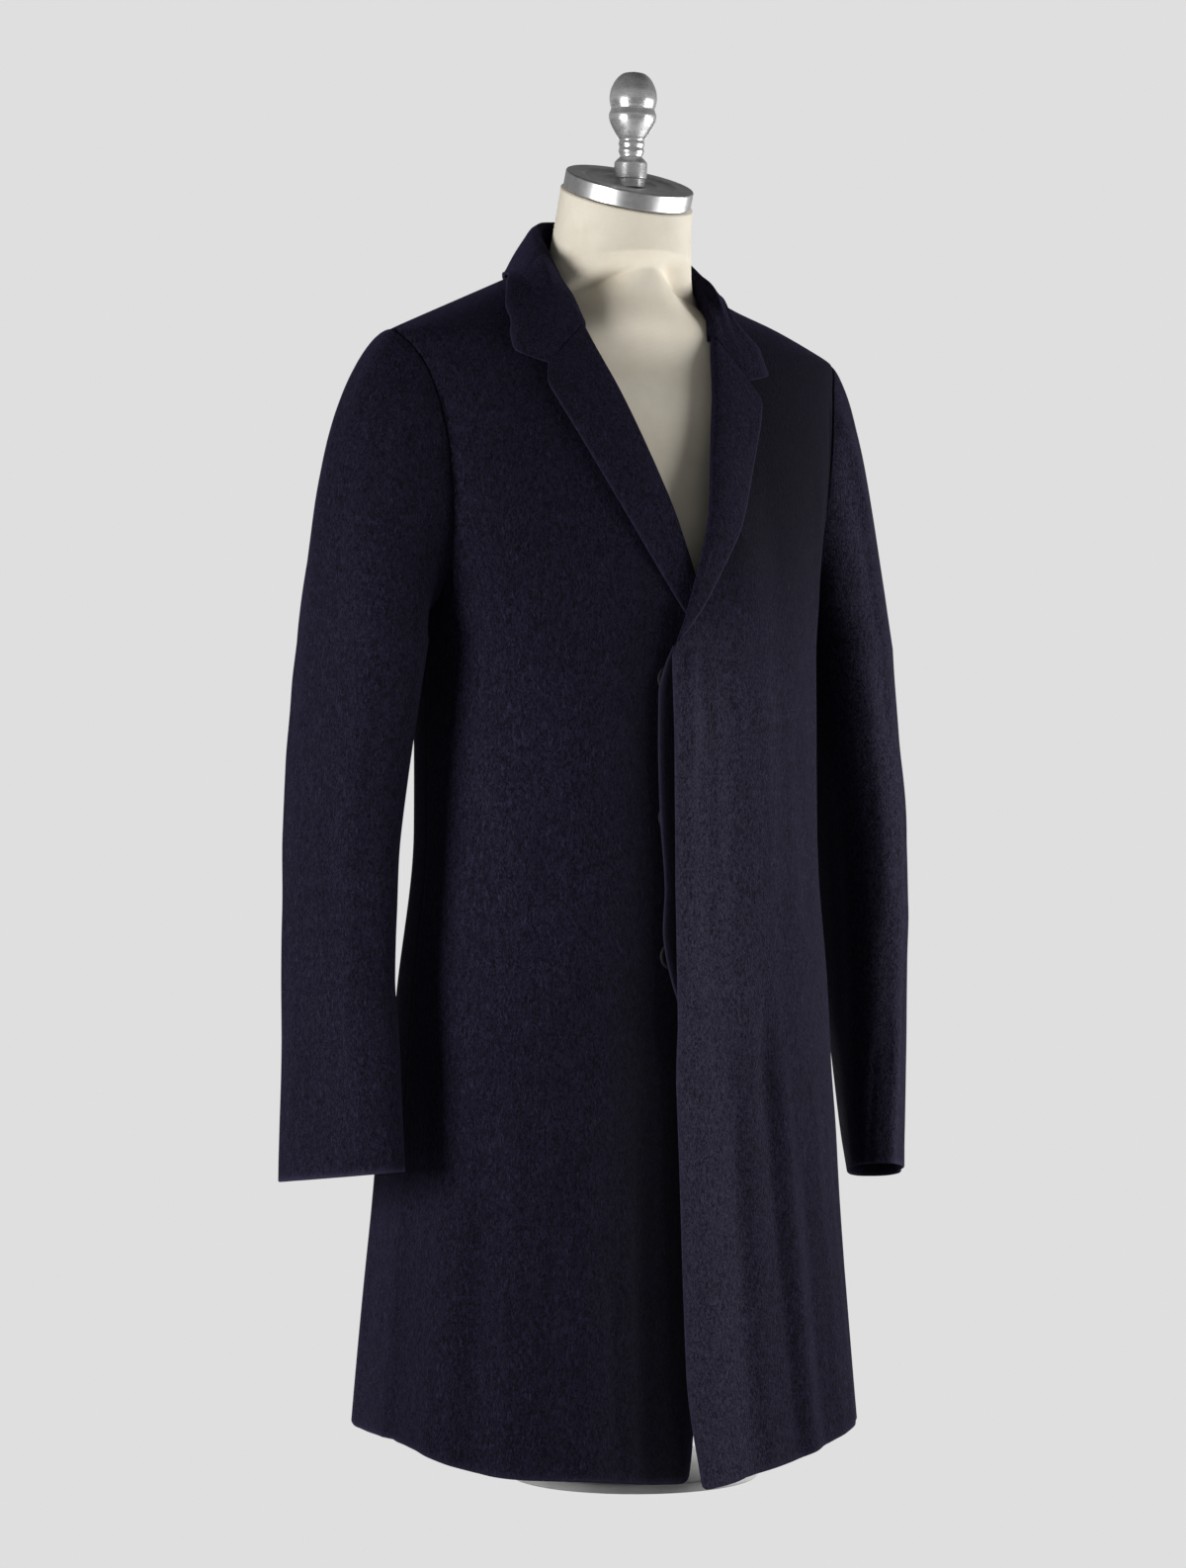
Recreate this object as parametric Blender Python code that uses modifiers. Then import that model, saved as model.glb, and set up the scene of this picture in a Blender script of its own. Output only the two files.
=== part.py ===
"""A single-breasted wool overcoat, buttoned under a covered placket, on a limbless dress form.

The coat is cut as a tailor cuts it: two fronts that lap left over right, a back, two-piece sleeves, turned
lapels, and a collar with its stand and fall. The form is a padded torso with a neck cap and a turned finial
on a short pole and a round foot, all inside the skirt of the coat.

Frame, in metres: the origin is on the floor, under the pole. +Z is up, the coat faces -Y, and the wearer's
left is +X. Heights in the tables are above the lowest point of the hem unless a name says otherwise.
"""

import math

import bpy
import numpy as np
from mathutils import Matrix, Vector

# ---------------------------------------------------------------- driving dimensions
HEM_Z = 0.012                # lowest point of the hem, above the floor
SHOULDER_Y = 0.030           # the shoulder seams lie this far behind the pole
CLOTH = 0.0025               # the double-faced wool
SEAM = 0.0003                # each panel stops this far short of its seam line
LAYER_GAP = 0.0005           # clearance between layers that lie on each other

NECK_POINT = (0.085, 0.9306)       # half width and height where shoulder seam and collar meet
SHOULDER_POINT = (0.207, 0.8776)   # half width and height of the shoulder's end
SLIP = 0.009                       # the coat sits this much lower beside the neck on its left
SLIP_WIDTH = 0.050
ARMPIT = 0.665                     # height of the foot of the armhole
ARMHOLE_FRONT = 0.046              # reach of the armhole in front of the shoulder plane
ARMHOLE_BACK = 0.056               # and behind it
HEM_BACK_RISE = 0.024              # the hem is this much higher at the centre back
# The hem's rise from the front to a side seam: its height there, and how late it comes.
HEM_RISE = {-1: (0.027, 2.0), 1: (0.036, 1.2)}
SIDE_SEAM_BACK = math.radians(3.5) # the side seams run this far back at the hem

CLOSING_X = -0.006           # the fronts close on this line, just right of the centre
LAP = 0.022                  # each front runs this far past the closing line
# The free edges swing apart towards the hem: how far each moves back at the hem, and from what height.
SWING = {-1: (0.047, 0.25), 1: (0.004, 0.05)}
BREAK = 0.634                # height where the lapels start to turn
BUTTON_HEIGHTS = (0.399, 0.505, 0.611)
BUTTON_RADIUS = 0.0105
BUTTON_THICK = 0.0026
BUTTON_X = CLOSING_X - 0.0245

# Body sections. Columns: height, half width, depth in front of and behind the shoulder plane, squareness.
BODY_SECTIONS = np.array([
    (0.000, 0.2030, 0.158, 0.190, 2.30),
    (0.031, 0.2011, 0.152, 0.186, 2.30),
    (0.133, 0.1935, 0.143, 0.175, 2.30),
    (0.215, 0.1870, 0.138, 0.165, 2.30),
    (0.365, 0.1790, 0.130, 0.142, 2.30),
    (0.494, 0.1690, 0.127, 0.117, 2.25),
    (0.585, 0.1700, 0.126, 0.115, 2.20),
    (0.665, 0.1745, 0.126, 0.120, 2.10),
    (0.725, 0.1830, 0.119, 0.120, 2.10),
    (0.765, 0.1920, 0.109, 0.114, 2.15),
    (0.825, 0.2020, 0.089, 0.099, 2.20),
    (0.8776, 0.2070, 0.064, 0.082, 2.20),
    (0.9306, 0.0850, 0.046, 0.070, 2.10),
])

# Sleeve sections below the sleeve head. Columns: height, centre's distance from the middle, centre's distance
# behind the shoulder plane, half thickness across, half depth fore and aft, turn of the front edge inwards in
# degrees.
SLEEVE_SECTIONS = np.array([
    (0.640, 0.2200, 0.005, 0.0360, 0.0655, 4.0),
    (0.604, 0.2255, 0.006, 0.0345, 0.0650, 5.0),
    (0.541, 0.2325, 0.008, 0.0325, 0.0620, 6.0),
    (0.447, 0.2412, 0.009, 0.0295, 0.0585, 8.0),
    (0.384, 0.2450, 0.006, 0.0275, 0.0585, 9.0),
    (0.321, 0.2470, 0.001, 0.0260, 0.0592, 11.0),
    (0.259, 0.2492, -0.003, 0.0245, 0.0612, 13.0),
    (0.2336, 0.2505, -0.006, 0.0235, 0.0622, 14.0),
])
# Each cuff: how much lower than the table it ends, its slope up to the front, and extra turn in degrees.
CUFF = {"right": (0.002, 0.12, 0.0), "left": (0.021, 0.12, 13.0)}
SLEEVE_FRONT_SEAM = 135      # where the two sleeve pieces meet, in degrees round from the top
SLEEVE_BACK_SEAM = 255
TURN_STEP = 15               # degrees between the rows of the armhole, and between columns of the sleeve
SLEEVE_ROUND = 0.92          # squareness of the sleeve's ovals
SLEEVE_TRIM = 0.006          # half the gap along those seams, in radians of turn
SLEEVE_SEAM_EDGE = 0.02      # the narrow strip beside them, in radians of turn
ARMHOLE_GAP = 0.0005         # between the armhole's edge and the sleeve head

SHOULDER_TRIM = 0.0045       # half the gap along the shoulder seam, in radians round the body
SHOULDER_LENGTH = 0.133

# Roll line of a lapel. Columns: height, distance out from the closing line.
ROLL_LINE = np.array([(0.634, -0.0205), (0.697, 0.000), (0.783, 0.0270), (0.862, 0.0520), (0.886, 0.0590)])
# Free edge of a lapel, from the break point up to its corner, in the same columns.
LAPEL_EDGE = np.array([
    (0.634, -0.0195), (0.659, 0.0045), (0.686, 0.0240), (0.718, 0.0440), (0.749, 0.0600),
    (0.775, 0.0720), (0.812, 0.0900), (0.836, 0.1010),
])
NOTCH = (0.8515, 0.0960)        # inner end of the notch
COLLAR_TIP = (0.8610, 0.1210)   # point of the collar

# Collar, from the front end round to the centre back. Columns: share of the way; the fold at the top, as
# distance from the middle, distance behind the shoulder plane and height; then where the fall comes down on
# the coat and where it ends, each as degrees round the body and height.
COLLAR_RUN = np.array([
    # share  fold: across, behind, height   seat: degrees, height   edge: degrees, height
    (0.00, 0.0590, -0.0620, 0.8860, 25.5, 0.8515, 34.0, 0.8610),
    (0.10, 0.0640, -0.0520, 0.9060, 29.0, 0.8850, 34.5, 0.8820),
    (0.22, 0.0690, -0.0330, 0.9270, 39.0, 0.9080, 49.0, 0.9005),
    (0.42, 0.0670, 0.0000, 0.9560, 79.0, 0.9280, 85.0, 0.9195),
    (0.60, 0.0540, 0.0310, 0.9740, 115.0, 0.9290, 117.0, 0.9230),
    (0.80, 0.0310, 0.0530, 0.9800, 150.0, 0.9290, 150.0, 0.9210),
    (1.00, 0.0000, 0.0600, 0.9820, 180.0, 0.9290, 180.0, 0.9200),
])
NECK_SEAM_SHARE = 0.42       # share of the collar at which its seam passes the shoulder seam
STAND_FROM = 0.20            # share of the collar at which the stand begins

# The form: how far it stays below the cloth's outer face. Columns: height, depth below the face.
FORM_CLEARANCE = np.array([
    (0.270, 0.024), (0.365, 0.018), (0.494, 0.013), (0.665, 0.012), (0.765, 0.010), (0.825, 0.0080),
    (0.8776, 0.0065), (0.9306, 0.0070),
])
FORM_AT_SEAM = 0.0031        # along the shoulder seams it comes this near, and carries the coat
FORM_AT_THROAT = 0.0150      # beside the foot of the neck, in front, it stays this far in
FORM_THROAT_OUT = 0.0260     # and between, in the open neck of the coat, it swells out by this much
FORM_BOTTOM = 0.270
NECK_RADIUS = 0.0530
NECK_FOOT = (-0.0090, 0.9480)   # centre of the neck's foot: behind the shoulder plane, and height
CAP_CENTRE = (-0.0200, 0.9930)  # centre of the cap's underside, in the same columns
CAP_TILT = math.radians(20.5)   # the cap leans forward
CAP_RADIUS = 0.0512
CAP_THICK = 0.0145
FINIAL_LEAN = math.radians(4.0)
SOCKET_RADIUS = 0.0320
SOCKET_THICK = 0.0080
POLE_RADIUS = 0.0150
FOOT_RADIUS = 0.098
FOOT_THICK = 0.008

# Outline of the finial. Columns: height above its seat, radius.
FINIAL_PROFILE = [
    (0.0000, 0.0118), (0.0012, 0.0130), (0.0125, 0.0130), (0.0155, 0.0110), (0.0181, 0.0087),
    (0.0225, 0.0101), (0.0250, 0.0095), (0.0280, 0.0102), (0.0305, 0.0097), (0.0336, 0.0116),
    (0.0375, 0.0139), (0.0427, 0.0168), (0.0470, 0.0184), (0.0500, 0.0187), (0.0530, 0.0178),
    (0.0556, 0.0171), (0.0582, 0.0179), (0.0633, 0.0187), (0.0685, 0.0182), (0.0750, 0.0158),
    (0.0801, 0.0122), (0.0832, 0.0076), (0.0845, 0.0000),
]


# ---------------------------------------------------------------- curves and surfaces
def smooth_column(table, column, where):
    """A column of a table read at the given first-column values, on a smooth curve that doesn't overshoot."""
    xs, ys = table[:, 0], table[:, column]
    steps, slopes = np.diff(xs), np.diff(ys) / np.diff(xs)
    tangent = np.zeros_like(ys)
    same_way = slopes[:-1] * slopes[1:] > 0
    before, after = slopes[:-1][same_way], slopes[1:][same_way]
    tangent[1:-1][same_way] = 2 * before * after / (before + after)
    tangent[0], tangent[-1] = slopes[0], slopes[-1]
    where = np.clip(np.asarray(where, float), xs[0], xs[-1])
    cell = np.clip(np.searchsorted(xs, where) - 1, 0, len(xs) - 2)
    t = (where - xs[cell]) / steps[cell]
    return (
        ys[cell] * (1 + 2 * t) * (1 - t) ** 2 + tangent[cell] * steps[cell] * t * (1 - t) ** 2
        + ys[cell + 1] * t * t * (3 - 2 * t) + tangent[cell + 1] * steps[cell] * t * t * (t - 1)
    )


def smoothstep(low, high, value):
    """0 below low, 1 above high, and a smooth rise between them."""
    t = np.clip((np.asarray(value, float) - low) / (high - low), 0, 1)
    return t * t * (3 - 2 * t)


def half_width(height):
    """Half width of the body; above the shoulder's end it follows the straight slope of the shoulder seam."""
    height = np.asarray(height, float)
    body = smooth_column(BODY_SECTIONS[:-1], 1, height)
    slope = (height - SHOULDER_POINT[1]) / (NECK_POINT[1] - SHOULDER_POINT[1])
    return np.where(slope > 0, SHOULDER_POINT[0] + slope * (NECK_POINT[0] - SHOULDER_POINT[0]), body)


def body_shape(angle, height):
    """Points of the body's outer face. The angle runs from 0 at the front through 90 degrees at the side to
    180 at the back, and past 0 to the other side; each section is a superellipse."""
    angle, height = np.broadcast_arrays(np.asarray(angle, float), np.asarray(height, float))
    power = 2 / smooth_column(BODY_SECTIONS, 4, height)
    sine, cosine = np.sin(angle), np.cos(angle)
    ahead, astern = smooth_column(BODY_SECTIONS, 2, height), smooth_column(BODY_SECTIONS, 3, height)
    depth = np.where(cosine > 0, ahead, astern)
    across = half_width(height) * np.sign(sine) * np.abs(sine) ** power
    behind = -depth * np.sign(cosine) * np.abs(cosine) ** power
    return np.stack([across, behind + SHOULDER_Y, height + HEM_Z], -1)


def body_face(angle, height, lift=0.0):
    """Points of the body's outer face, moved out by lift along the face's own normal."""
    step_angle, step_height = 1e-3, 1e-4
    height = np.asarray(height, float)
    below = np.minimum(height, NECK_POINT[1] - step_height)
    point = body_shape(angle, height)
    along = body_shape(angle + step_angle, below) - body_shape(angle - step_angle, below)
    up = body_shape(angle, below + step_height) - body_shape(angle, below - step_height)
    normal = np.cross(along, up)
    normal /= np.maximum(np.linalg.norm(normal, axis=-1, keepdims=True), 1e-12)
    return point + normal * np.asarray(lift, float)[..., None]


def settled(points, side=1):
    """Points lowered beside the neck on one side, where the coat has slipped down a little; 0 lowers both."""
    across = points[..., 0] * side if side else np.abs(points[..., 0])
    beside = np.exp(-((across - NECK_POINT[0]) / SLIP_WIDTH) ** 2)
    height = points[..., 2] - HEM_Z
    near = smoothstep(0.850, 0.920, height) * (1 - smoothstep(0.935, 0.980, height))
    return points - np.stack([0 * beside, 0 * beside, SLIP * beside * near], -1)


def angle_across(across, height):
    """The angle at which a section is that far out from the middle, on the front."""
    height = np.asarray(height, float)
    share = np.clip(np.abs(across) / half_width(height), 0, 1)
    angle = np.arcsin(share ** (smooth_column(BODY_SECTIONS, 4, height) / 2))
    return np.sign(across) * angle


def armhole_angle(height, reach, depth_column):
    """The angle of the armhole on a section: an upright oval, seen from the side."""
    middle = (SHOULDER_POINT[1] + ARMPIT) / 2
    half = (SHOULDER_POINT[1] - ARMPIT) / 2
    behind = reach * np.sqrt(np.clip(1 - ((np.asarray(height, float) - middle) / half) ** 2, 0, 1))
    power = smooth_column(BODY_SECTIONS, 4, height)
    share = np.clip(behind / smooth_column(BODY_SECTIONS, depth_column, height), 0, 1)
    return np.arccos(share ** (power / 2))


# ---------------------------------------------------------------- Blender helpers
def start_clean():
    """Empties the scene and makes the collection that the object goes in."""
    for item in list(bpy.data.objects):
        bpy.data.objects.remove(item, do_unlink=True)
    group = bpy.data.collections.new("overcoat_on_form")
    bpy.context.scene.collection.children.link(group)
    return group


def material(name, colour, roughness, metallic=0.0):
    """A Principled material of one colour."""
    made = bpy.data.materials.new(name)
    made.use_nodes = True
    shader = made.node_tree.nodes["Principled BSDF"]
    shader.inputs["Base Color"].default_value = (*colour, 1.0)
    shader.inputs["Roughness"].default_value = roughness
    shader.inputs["Metallic"].default_value = metallic
    return made


def add_mesh(name, vertices, faces, finish):
    """A named object from vertices and faces."""
    mesh = bpy.data.meshes.new(name)
    mesh.from_pydata([tuple(map(float, v)) for v in vertices], [], [tuple(map(int, f)) for f in faces])
    mesh.validate()
    mesh.materials.append(finish)
    made = bpy.data.objects.new(name, mesh)
    COAT.objects.link(made)
    return made


def grid_faces(rows, columns, flip=False, closed=False):
    """Quads of a grid of rows by columns vertices; closed joins the last column to the first."""
    row, column = np.meshgrid(np.arange(rows - 1), np.arange(columns - (0 if closed else 1)), indexing="ij")
    beside = (column + 1) % columns
    quads = np.stack([
        row * columns + column, row * columns + beside,
        (row + 1) * columns + beside, (row + 1) * columns + column,
    ], -1).reshape(-1, 4)
    return quads[:, ::-1] if flip else quads


def cloth(name, grid, finish, flip, thick=CLOTH):
    """A cloth panel: an open surface through a grid of points, given its thickness inwards by Solidify."""
    rows, columns, _ = grid.shape
    made = add_mesh(name, settled(grid).reshape(-1, 3), grid_faces(rows, columns, flip), finish)
    wall = made.modifiers.new("thickness", "SOLIDIFY")
    wall.thickness = thick
    wall.offset = -1.0
    made.data.shade_smooth()
    return made


def trimmed(first, last, count, trim_first=SEAM, trim_last=SEAM):
    """Shares from 0 to 1 along an arc of the given points, kept a seam's width clear of both ends."""
    length = np.maximum(np.linalg.norm(last - first, axis=-1), 1e-6)
    low, high = trim_first / length, 1 - trim_last / length
    return low[:, None] + np.linspace(0, 1, count)[None, :] * (high - low)[:, None]


def turned(name, profile, centre, finish, steps=32):
    """A turned piece: a profile of (height, radius) pairs, bottom to top, spun round the upright."""
    points = profile[::-1]
    made = add_mesh(name, [(r, 0, h) for h, r in points], [], finish)
    made.data.edges.add(len(points) - 1)
    made.data.edges.foreach_set("vertices", [i for k in range(len(points) - 1) for i in (k, k + 1)])
    spin = made.modifiers.new("spin", "SCREW")
    spin.steps = spin.render_steps = steps
    spin.use_merge_vertices = True
    spin.merge_threshold = 0.00005
    made.location = centre
    return made


def loft(name, rings, finish):
    """A solid through closed rings of points, bottom to top, each end closed to its own centre."""
    count = rings.shape[1]
    quads = grid_faces(len(rings), count, closed=True)
    ends = np.stack([rings[0].mean(axis=0), rings[-1].mean(axis=0)])
    low, high = rings[:, :, 0].size, rings[:, :, 0].size + 1
    here = np.arange(count)
    beside = (here + 1) % count
    top = high - 1 - count
    faces = [*quads, *np.stack([beside, here, np.full(count, low)], -1)]
    faces += [*np.stack([top + here, top + beside, np.full(count, high)], -1)]
    made = add_mesh(name, np.concatenate([rings.reshape(-1, 3), ends]), faces, finish)
    made.data.shade_smooth()
    return made


# ---------------------------------------------------------------- the body of the coat
LOWER_ROWS = np.array([0.0, 0.03, 0.075, 0.14, 0.22, 0.30, 0.355, 0.41, 0.47, 0.54, 0.59, BREAK])
ARMHOLE_ROWS = 180 // TURN_STEP + 1
OVER_FRONT = 0.0034          # the left front's face is this far above the right one's
OVER_PLACKET = 0.0092        # and this far where the placket and buttons are between them
FRONT_COLUMNS = 14
BACK_COLUMNS = 11            # on each side of the centre
NECK_SHARE = 4 / 10          # share of the back's top edge that is neckline


def hem_height(angle, side):
    """The hem rises from the front to the side seam, and eases to its height at the centre back."""
    rise, power = HEM_RISE[side]
    out = np.abs(np.sin(angle))
    behind = HEM_BACK_RISE + (rise - HEM_BACK_RISE) * out ** 2
    return np.where(np.abs(angle) < math.pi / 2, rise * out ** power * (angle > 0), behind)


def side_seam(height):
    """The angle of the side seam: at the side under the arm, and a little further back down the skirt."""
    return math.pi / 2 + SIDE_SEAM_BACK * (1 - smoothstep(0.10, 0.60, height))


def raised_at_hem(angle, height, side):
    """Heights with the hem's curve added, which fades out by the break point."""
    return height + hem_height(angle, side) * (1 - smoothstep(0.0, BREAK, height))


def skirt_folds(angle, height):
    """Soft upright folds of the skirt: deepest at the hem, gone at the hip."""
    fade = 1 - smoothstep(0.02, 0.42, height)
    return fade * (0.0022 * np.sin(angle * 9.0 + 0.7) + 0.0014 * np.sin(angle * 15.0 + 2.1))


def front_edge(height, side):
    """How far out the front's inner edge is: its free edge up to the break, then the roll line and neck."""
    rolled = side * CLOSING_X + smooth_column(ROLL_LINE, 1, height)
    past_roll = np.clip((height - ROLL_LINE[-1, 0]) / (NECK_POINT[1] - ROLL_LINE[-1, 0]), 0, 1)
    swing, swings_from = SWING[side]
    free = side * CLOSING_X - LAP + swing * (1 - smoothstep(0.0, swings_from, height))
    return np.where(height < BREAK, free, rolled + past_roll * (NECK_POINT[0] - rolled))


def overlap_lift(across, height, side):
    """How far the left front is moved out where it laps over the right one, the placket and the buttons."""
    layers = OVER_FRONT + (OVER_PLACKET - OVER_FRONT) * smoothstep(0.30, 0.355, height)
    layers = layers * (1 - smoothstep(0.71, 0.81, height))
    return layers * (1 - smoothstep(0.030, 0.085, across)) * (side > 0)


def panel_rows():
    """Heights of a panel's rows, from the hem to the top, at the centre and at the armhole."""
    climb = np.linspace(0, 1, ARMHOLE_ROWS)
    inner = ARMPIT + (1 - (1 - climb) ** 2) * (NECK_POINT[1] - ARMPIT)
    outer = ARMPIT + (0.5 - 0.5 * np.cos(math.pi * climb)) * (SHOULDER_POINT[1] - ARMPIT)
    return np.concatenate([LOWER_ROWS, inner]), np.concatenate([LOWER_ROWS, outer])


def front_panel(name, side, finish):
    """One front, from its free edge and roll line to the side seam, armhole and shoulder seam."""
    inner, outer = panel_rows()
    inside = angle_across(front_edge(inner, side), inner)
    outside = np.where(outer <= ARMPIT, side_seam(outer), armhole_angle(outer, ARMHOLE_FRONT, 2))
    inside[-1] = outside[-1] = math.pi / 2 - SHOULDER_TRIM
    share = trimmed(body_shape(inside, inner), body_shape(outside, outer), FRONT_COLUMNS, trim_first=0.0)
    angle = inside[:, None] + share * (outside - inside)[:, None]
    height = raised_at_hem(angle, inner[:, None] + share * (outer - inner)[:, None], side)
    across = body_shape(angle, height)[..., 0]
    grid = body_face(angle, height, overlap_lift(across, height, side) + skirt_folds(angle * side, height))
    grid[..., 0] *= side
    return cloth(name, grid, finish, flip=side < 0)


def back_half(side):
    """Half of the back, from its centre to the side seam, armhole and shoulder seam."""
    inner, outer = panel_rows()
    edge = np.where(outer <= ARMPIT, side_seam(outer), math.pi - armhole_angle(outer, ARMHOLE_BACK, 3))
    centre = np.full_like(edge, math.pi)
    share = trimmed(body_shape(centre, inner), body_shape(edge, outer), BACK_COLUMNS, trim_first=0.0)
    angle = centre[:, None] + share * (edge - centre)[:, None]
    height = inner[:, None] + share * (outer - inner)[:, None]
    even = np.linspace(0, 1, BACK_COLUMNS)
    along_neck = np.minimum(even / NECK_SHARE, 1)
    along_seam = np.maximum((even - NECK_SHARE) / (1 - NECK_SHARE), 0) * (1 - SEAM / SHOULDER_LENGTH)
    near_top = np.concatenate([np.zeros(len(LOWER_ROWS)), np.linspace(0, 1, ARMHOLE_ROWS) ** 2.2])[:, None]
    near_top = near_top * (1 - even ** 3)
    near_top[-1] = 1
    angle += near_top * (math.pi - along_neck * (math.pi / 2 - SHOULDER_TRIM) - angle)
    height += near_top * (NECK_POINT[1] - along_seam * (NECK_POINT[1] - SHOULDER_POINT[1]) - height)
    height = raised_at_hem(angle, height, side)
    grid = body_face(angle, height, skirt_folds(angle * side, height))
    grid[..., 0] *= side
    return grid


def back_panel(name, finish):
    """The back, in one piece from side seam to side seam, up to the shoulder seams and the neck."""
    grid = np.concatenate([back_half(-1)[:, :0:-1], back_half(1)], axis=1)
    return cloth(name, grid, finish, flip=True)


# ---------------------------------------------------------------- sleeves
HEAD_ROWS = 8
ARM_ROWS = 12
SLEEVE_PIECES = {
    "top": (SLEEVE_BACK_SEAM - 360, SLEEVE_FRONT_SEAM),
    "under": (SLEEVE_FRONT_SEAM, SLEEVE_BACK_SEAM),
}


def armhole_loop(turn, side):
    """Points round an armhole, by the turn from its top through its front, foot and back."""
    middle, half = (SHOULDER_POINT[1] + ARMPIT) / 2, (SHOULDER_POINT[1] - ARMPIT) / 2
    height = middle + half * np.cos(turn)
    front = armhole_angle(height, ARMHOLE_FRONT, 2)
    back = math.pi - armhole_angle(height, ARMHOLE_BACK, 3)
    point = body_shape(np.where(np.sin(turn) >= 0, front, back), height)
    point[..., 0] = (point[..., 0] + ARMHOLE_GAP) * side
    return point


def arm_loop(turn, height, side, name):
    """Points round the sleeve at one height below its head: a turned oval, its turn as for the armhole."""
    drop, slope, twist = CUFF[name]
    first, last = SLEEVE_SECTIONS[0, 0], SLEEVE_SECTIONS[-1, 0]
    reach = (first - height) / (first - last)
    across, behind, thick, depth, yaw = (smooth_column(SLEEVE_SECTIONS[::-1], k, height) for k in range(1, 6))
    yaw = np.radians(yaw + twist * reach ** 2)
    out = thick * np.sign(np.cos(turn)) * np.abs(np.cos(turn)) ** SLEEVE_ROUND
    fore = depth * np.sign(np.sin(turn)) * np.abs(np.sin(turn)) ** SLEEVE_ROUND
    x = across + out * np.cos(yaw) - fore * np.sin(yaw)
    y = SHOULDER_Y + behind - fore * np.cos(yaw) - out * np.sin(yaw)
    z = HEM_Z + height - drop * reach ** 2 + slope * reach ** 6 * fore
    return np.stack([x * side, y, z], -1)


def sleeve_grid(turn, side, name):
    """The sleeve's outer face along the given turns: it leaves the armhole outwards, then hangs."""
    first, last = SLEEVE_SECTIONS[0, 0], SLEEVE_SECTIONS[-1, 0]
    start, end = armhole_loop(turn, side), arm_loop(turn, first, side, name)
    over, front = 0.5 + 0.5 * np.cos(turn), np.sin(turn)
    leave = np.stack([
        side * (0.006 + 0.018 * over), -0.010 * front * (1 - over), 0.006 * over ** 2 - 0.003 * (1 - over),
    ], -1)
    arrive = np.stack([-side * 0.012 * over, 0.010 * front, 0.012 + 0.095 * over ** 1.5], -1)
    t = np.linspace(0, 1, HEAD_ROWS)[:, None, None]
    head = (
        start * (1 - t) ** 3 + (start + leave) * 3 * t * (1 - t) ** 2
        + (end + arrive) * 3 * t * t * (1 - t) + end * t ** 3
    )
    arm = [arm_loop(turn, height, side, name) for height in np.linspace(first, last, ARM_ROWS)[1:]]
    return np.concatenate([head, np.array(arm)])


def sleeve(name, side, finish):
    """A two-piece sleeve: the top piece outside the arm and the under piece inside it."""
    for piece, (first, last) in SLEEVE_PIECES.items():
        turn = np.radians(np.arange(first, last + TURN_STEP, TURN_STEP, dtype=float))
        turn = np.array([
            turn[0] + SLEEVE_TRIM, turn[0] + SLEEVE_SEAM_EDGE, *turn[1:-1],
            turn[-1] - SLEEVE_SEAM_EDGE, turn[-1] - SLEEVE_TRIM,
        ])
        cloth(f"sleeve_{piece}_{name}", sleeve_grid(turn, side, name), finish, flip=side < 0)


# ---------------------------------------------------------------- lapels, collar and placket
LAPEL_ROWS = 15
LAPEL_COLUMNS = 8
LAPEL_FOOT = 0.006           # the lapel piece starts this far above the break
LAPEL_RISE = 0.0022          # the lapel stands this much further off the front near the top
LAPEL_CROWN = 0.0030         # and its roll a little more
COLLAR_LIFT = CLOTH + LAYER_GAP + LAPEL_RISE
COLLAR_HALF = 19             # columns of the collar from one end to the centre back
COLLAR_CROWN = 0.0015
STAND_INSIDE = 0.0033        # the stand is this far inside the fold
STAND_BELOW = 0.0015         # and this far below it
STAND_ROWS = 3
STAND_GAP = 0.0012
GORGE_SHARE = 5 / 7          # share of the lapel's top that is gorge seam; the rest is the notch's lower side
GORGE_GAP = 0.0007
PLACKET_THICK = 0.0020
PLACKET_WIDTH = 0.048
PLACKET_ROWS = 12
PLACKET_COLUMNS = 6
BUTTON_GAP = 0.0005

# Placket, the strip under the left front's edge. Columns: height, how far it shows past that edge.
PLACKET_EDGE = np.array([
    (0.362, -0.0040), (0.385, 0.0020), (0.4187, 0.0065), (0.464, 0.0045), (0.525, 0.0063), (0.600, 0.0085),
    (0.622, 0.0040), (0.636, -0.0020),
])


def front_point(across, height, side, lift):
    """A point that far out from the middle on a front, moved out from the body's face."""
    grid = body_face(angle_across(across, height), height, lift)
    grid[..., 0] *= side
    return grid


def lapel(name, side, finish):
    """A lapel: the front turned back along the roll line, from the break point up to the gorge and notch."""
    ends = np.linspace(0, 1, LAPEL_ROWS)
    share = np.linspace(0, 1, LAPEL_COLUMNS)[None]
    foot = BREAK + LAPEL_FOOT
    roll_height = foot + ends * (ROLL_LINE[-1, 0] - foot)
    edge_height = foot + ends * (LAPEL_EDGE[-1, 0] - foot)
    roll, edge = smooth_column(ROLL_LINE, 1, roll_height), smooth_column(LAPEL_EDGE, 1, edge_height)
    out = roll[:, None] * (1 - share) + edge[:, None] * share
    height = roll_height[:, None] * (1 - share) + edge_height[:, None] * share
    near_top = ends[:, None] ** 5
    corners = (0.0, GORGE_SHARE, 1.0)
    top_out = np.interp(share, corners, (roll[-1], NOTCH[1], edge[-1]))
    top_height = np.interp(share, corners, (roll_height[-1], NOTCH[0], edge_height[-1])) - GORGE_GAP
    out += near_top * (top_out - out)
    height += near_top * (top_height - height)
    across = side * CLOSING_X + out
    lift = CLOTH + LAYER_GAP + smoothstep(0.08, 0.45, ends)[:, None] * (
        LAPEL_RISE + LAPEL_CROWN * np.sin(math.pi * share ** 0.6)
    )
    lift = lift + overlap_lift(across, height, side)
    return cloth(name, front_point(across, height, side, lift), finish, flip=side < 0)


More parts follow.
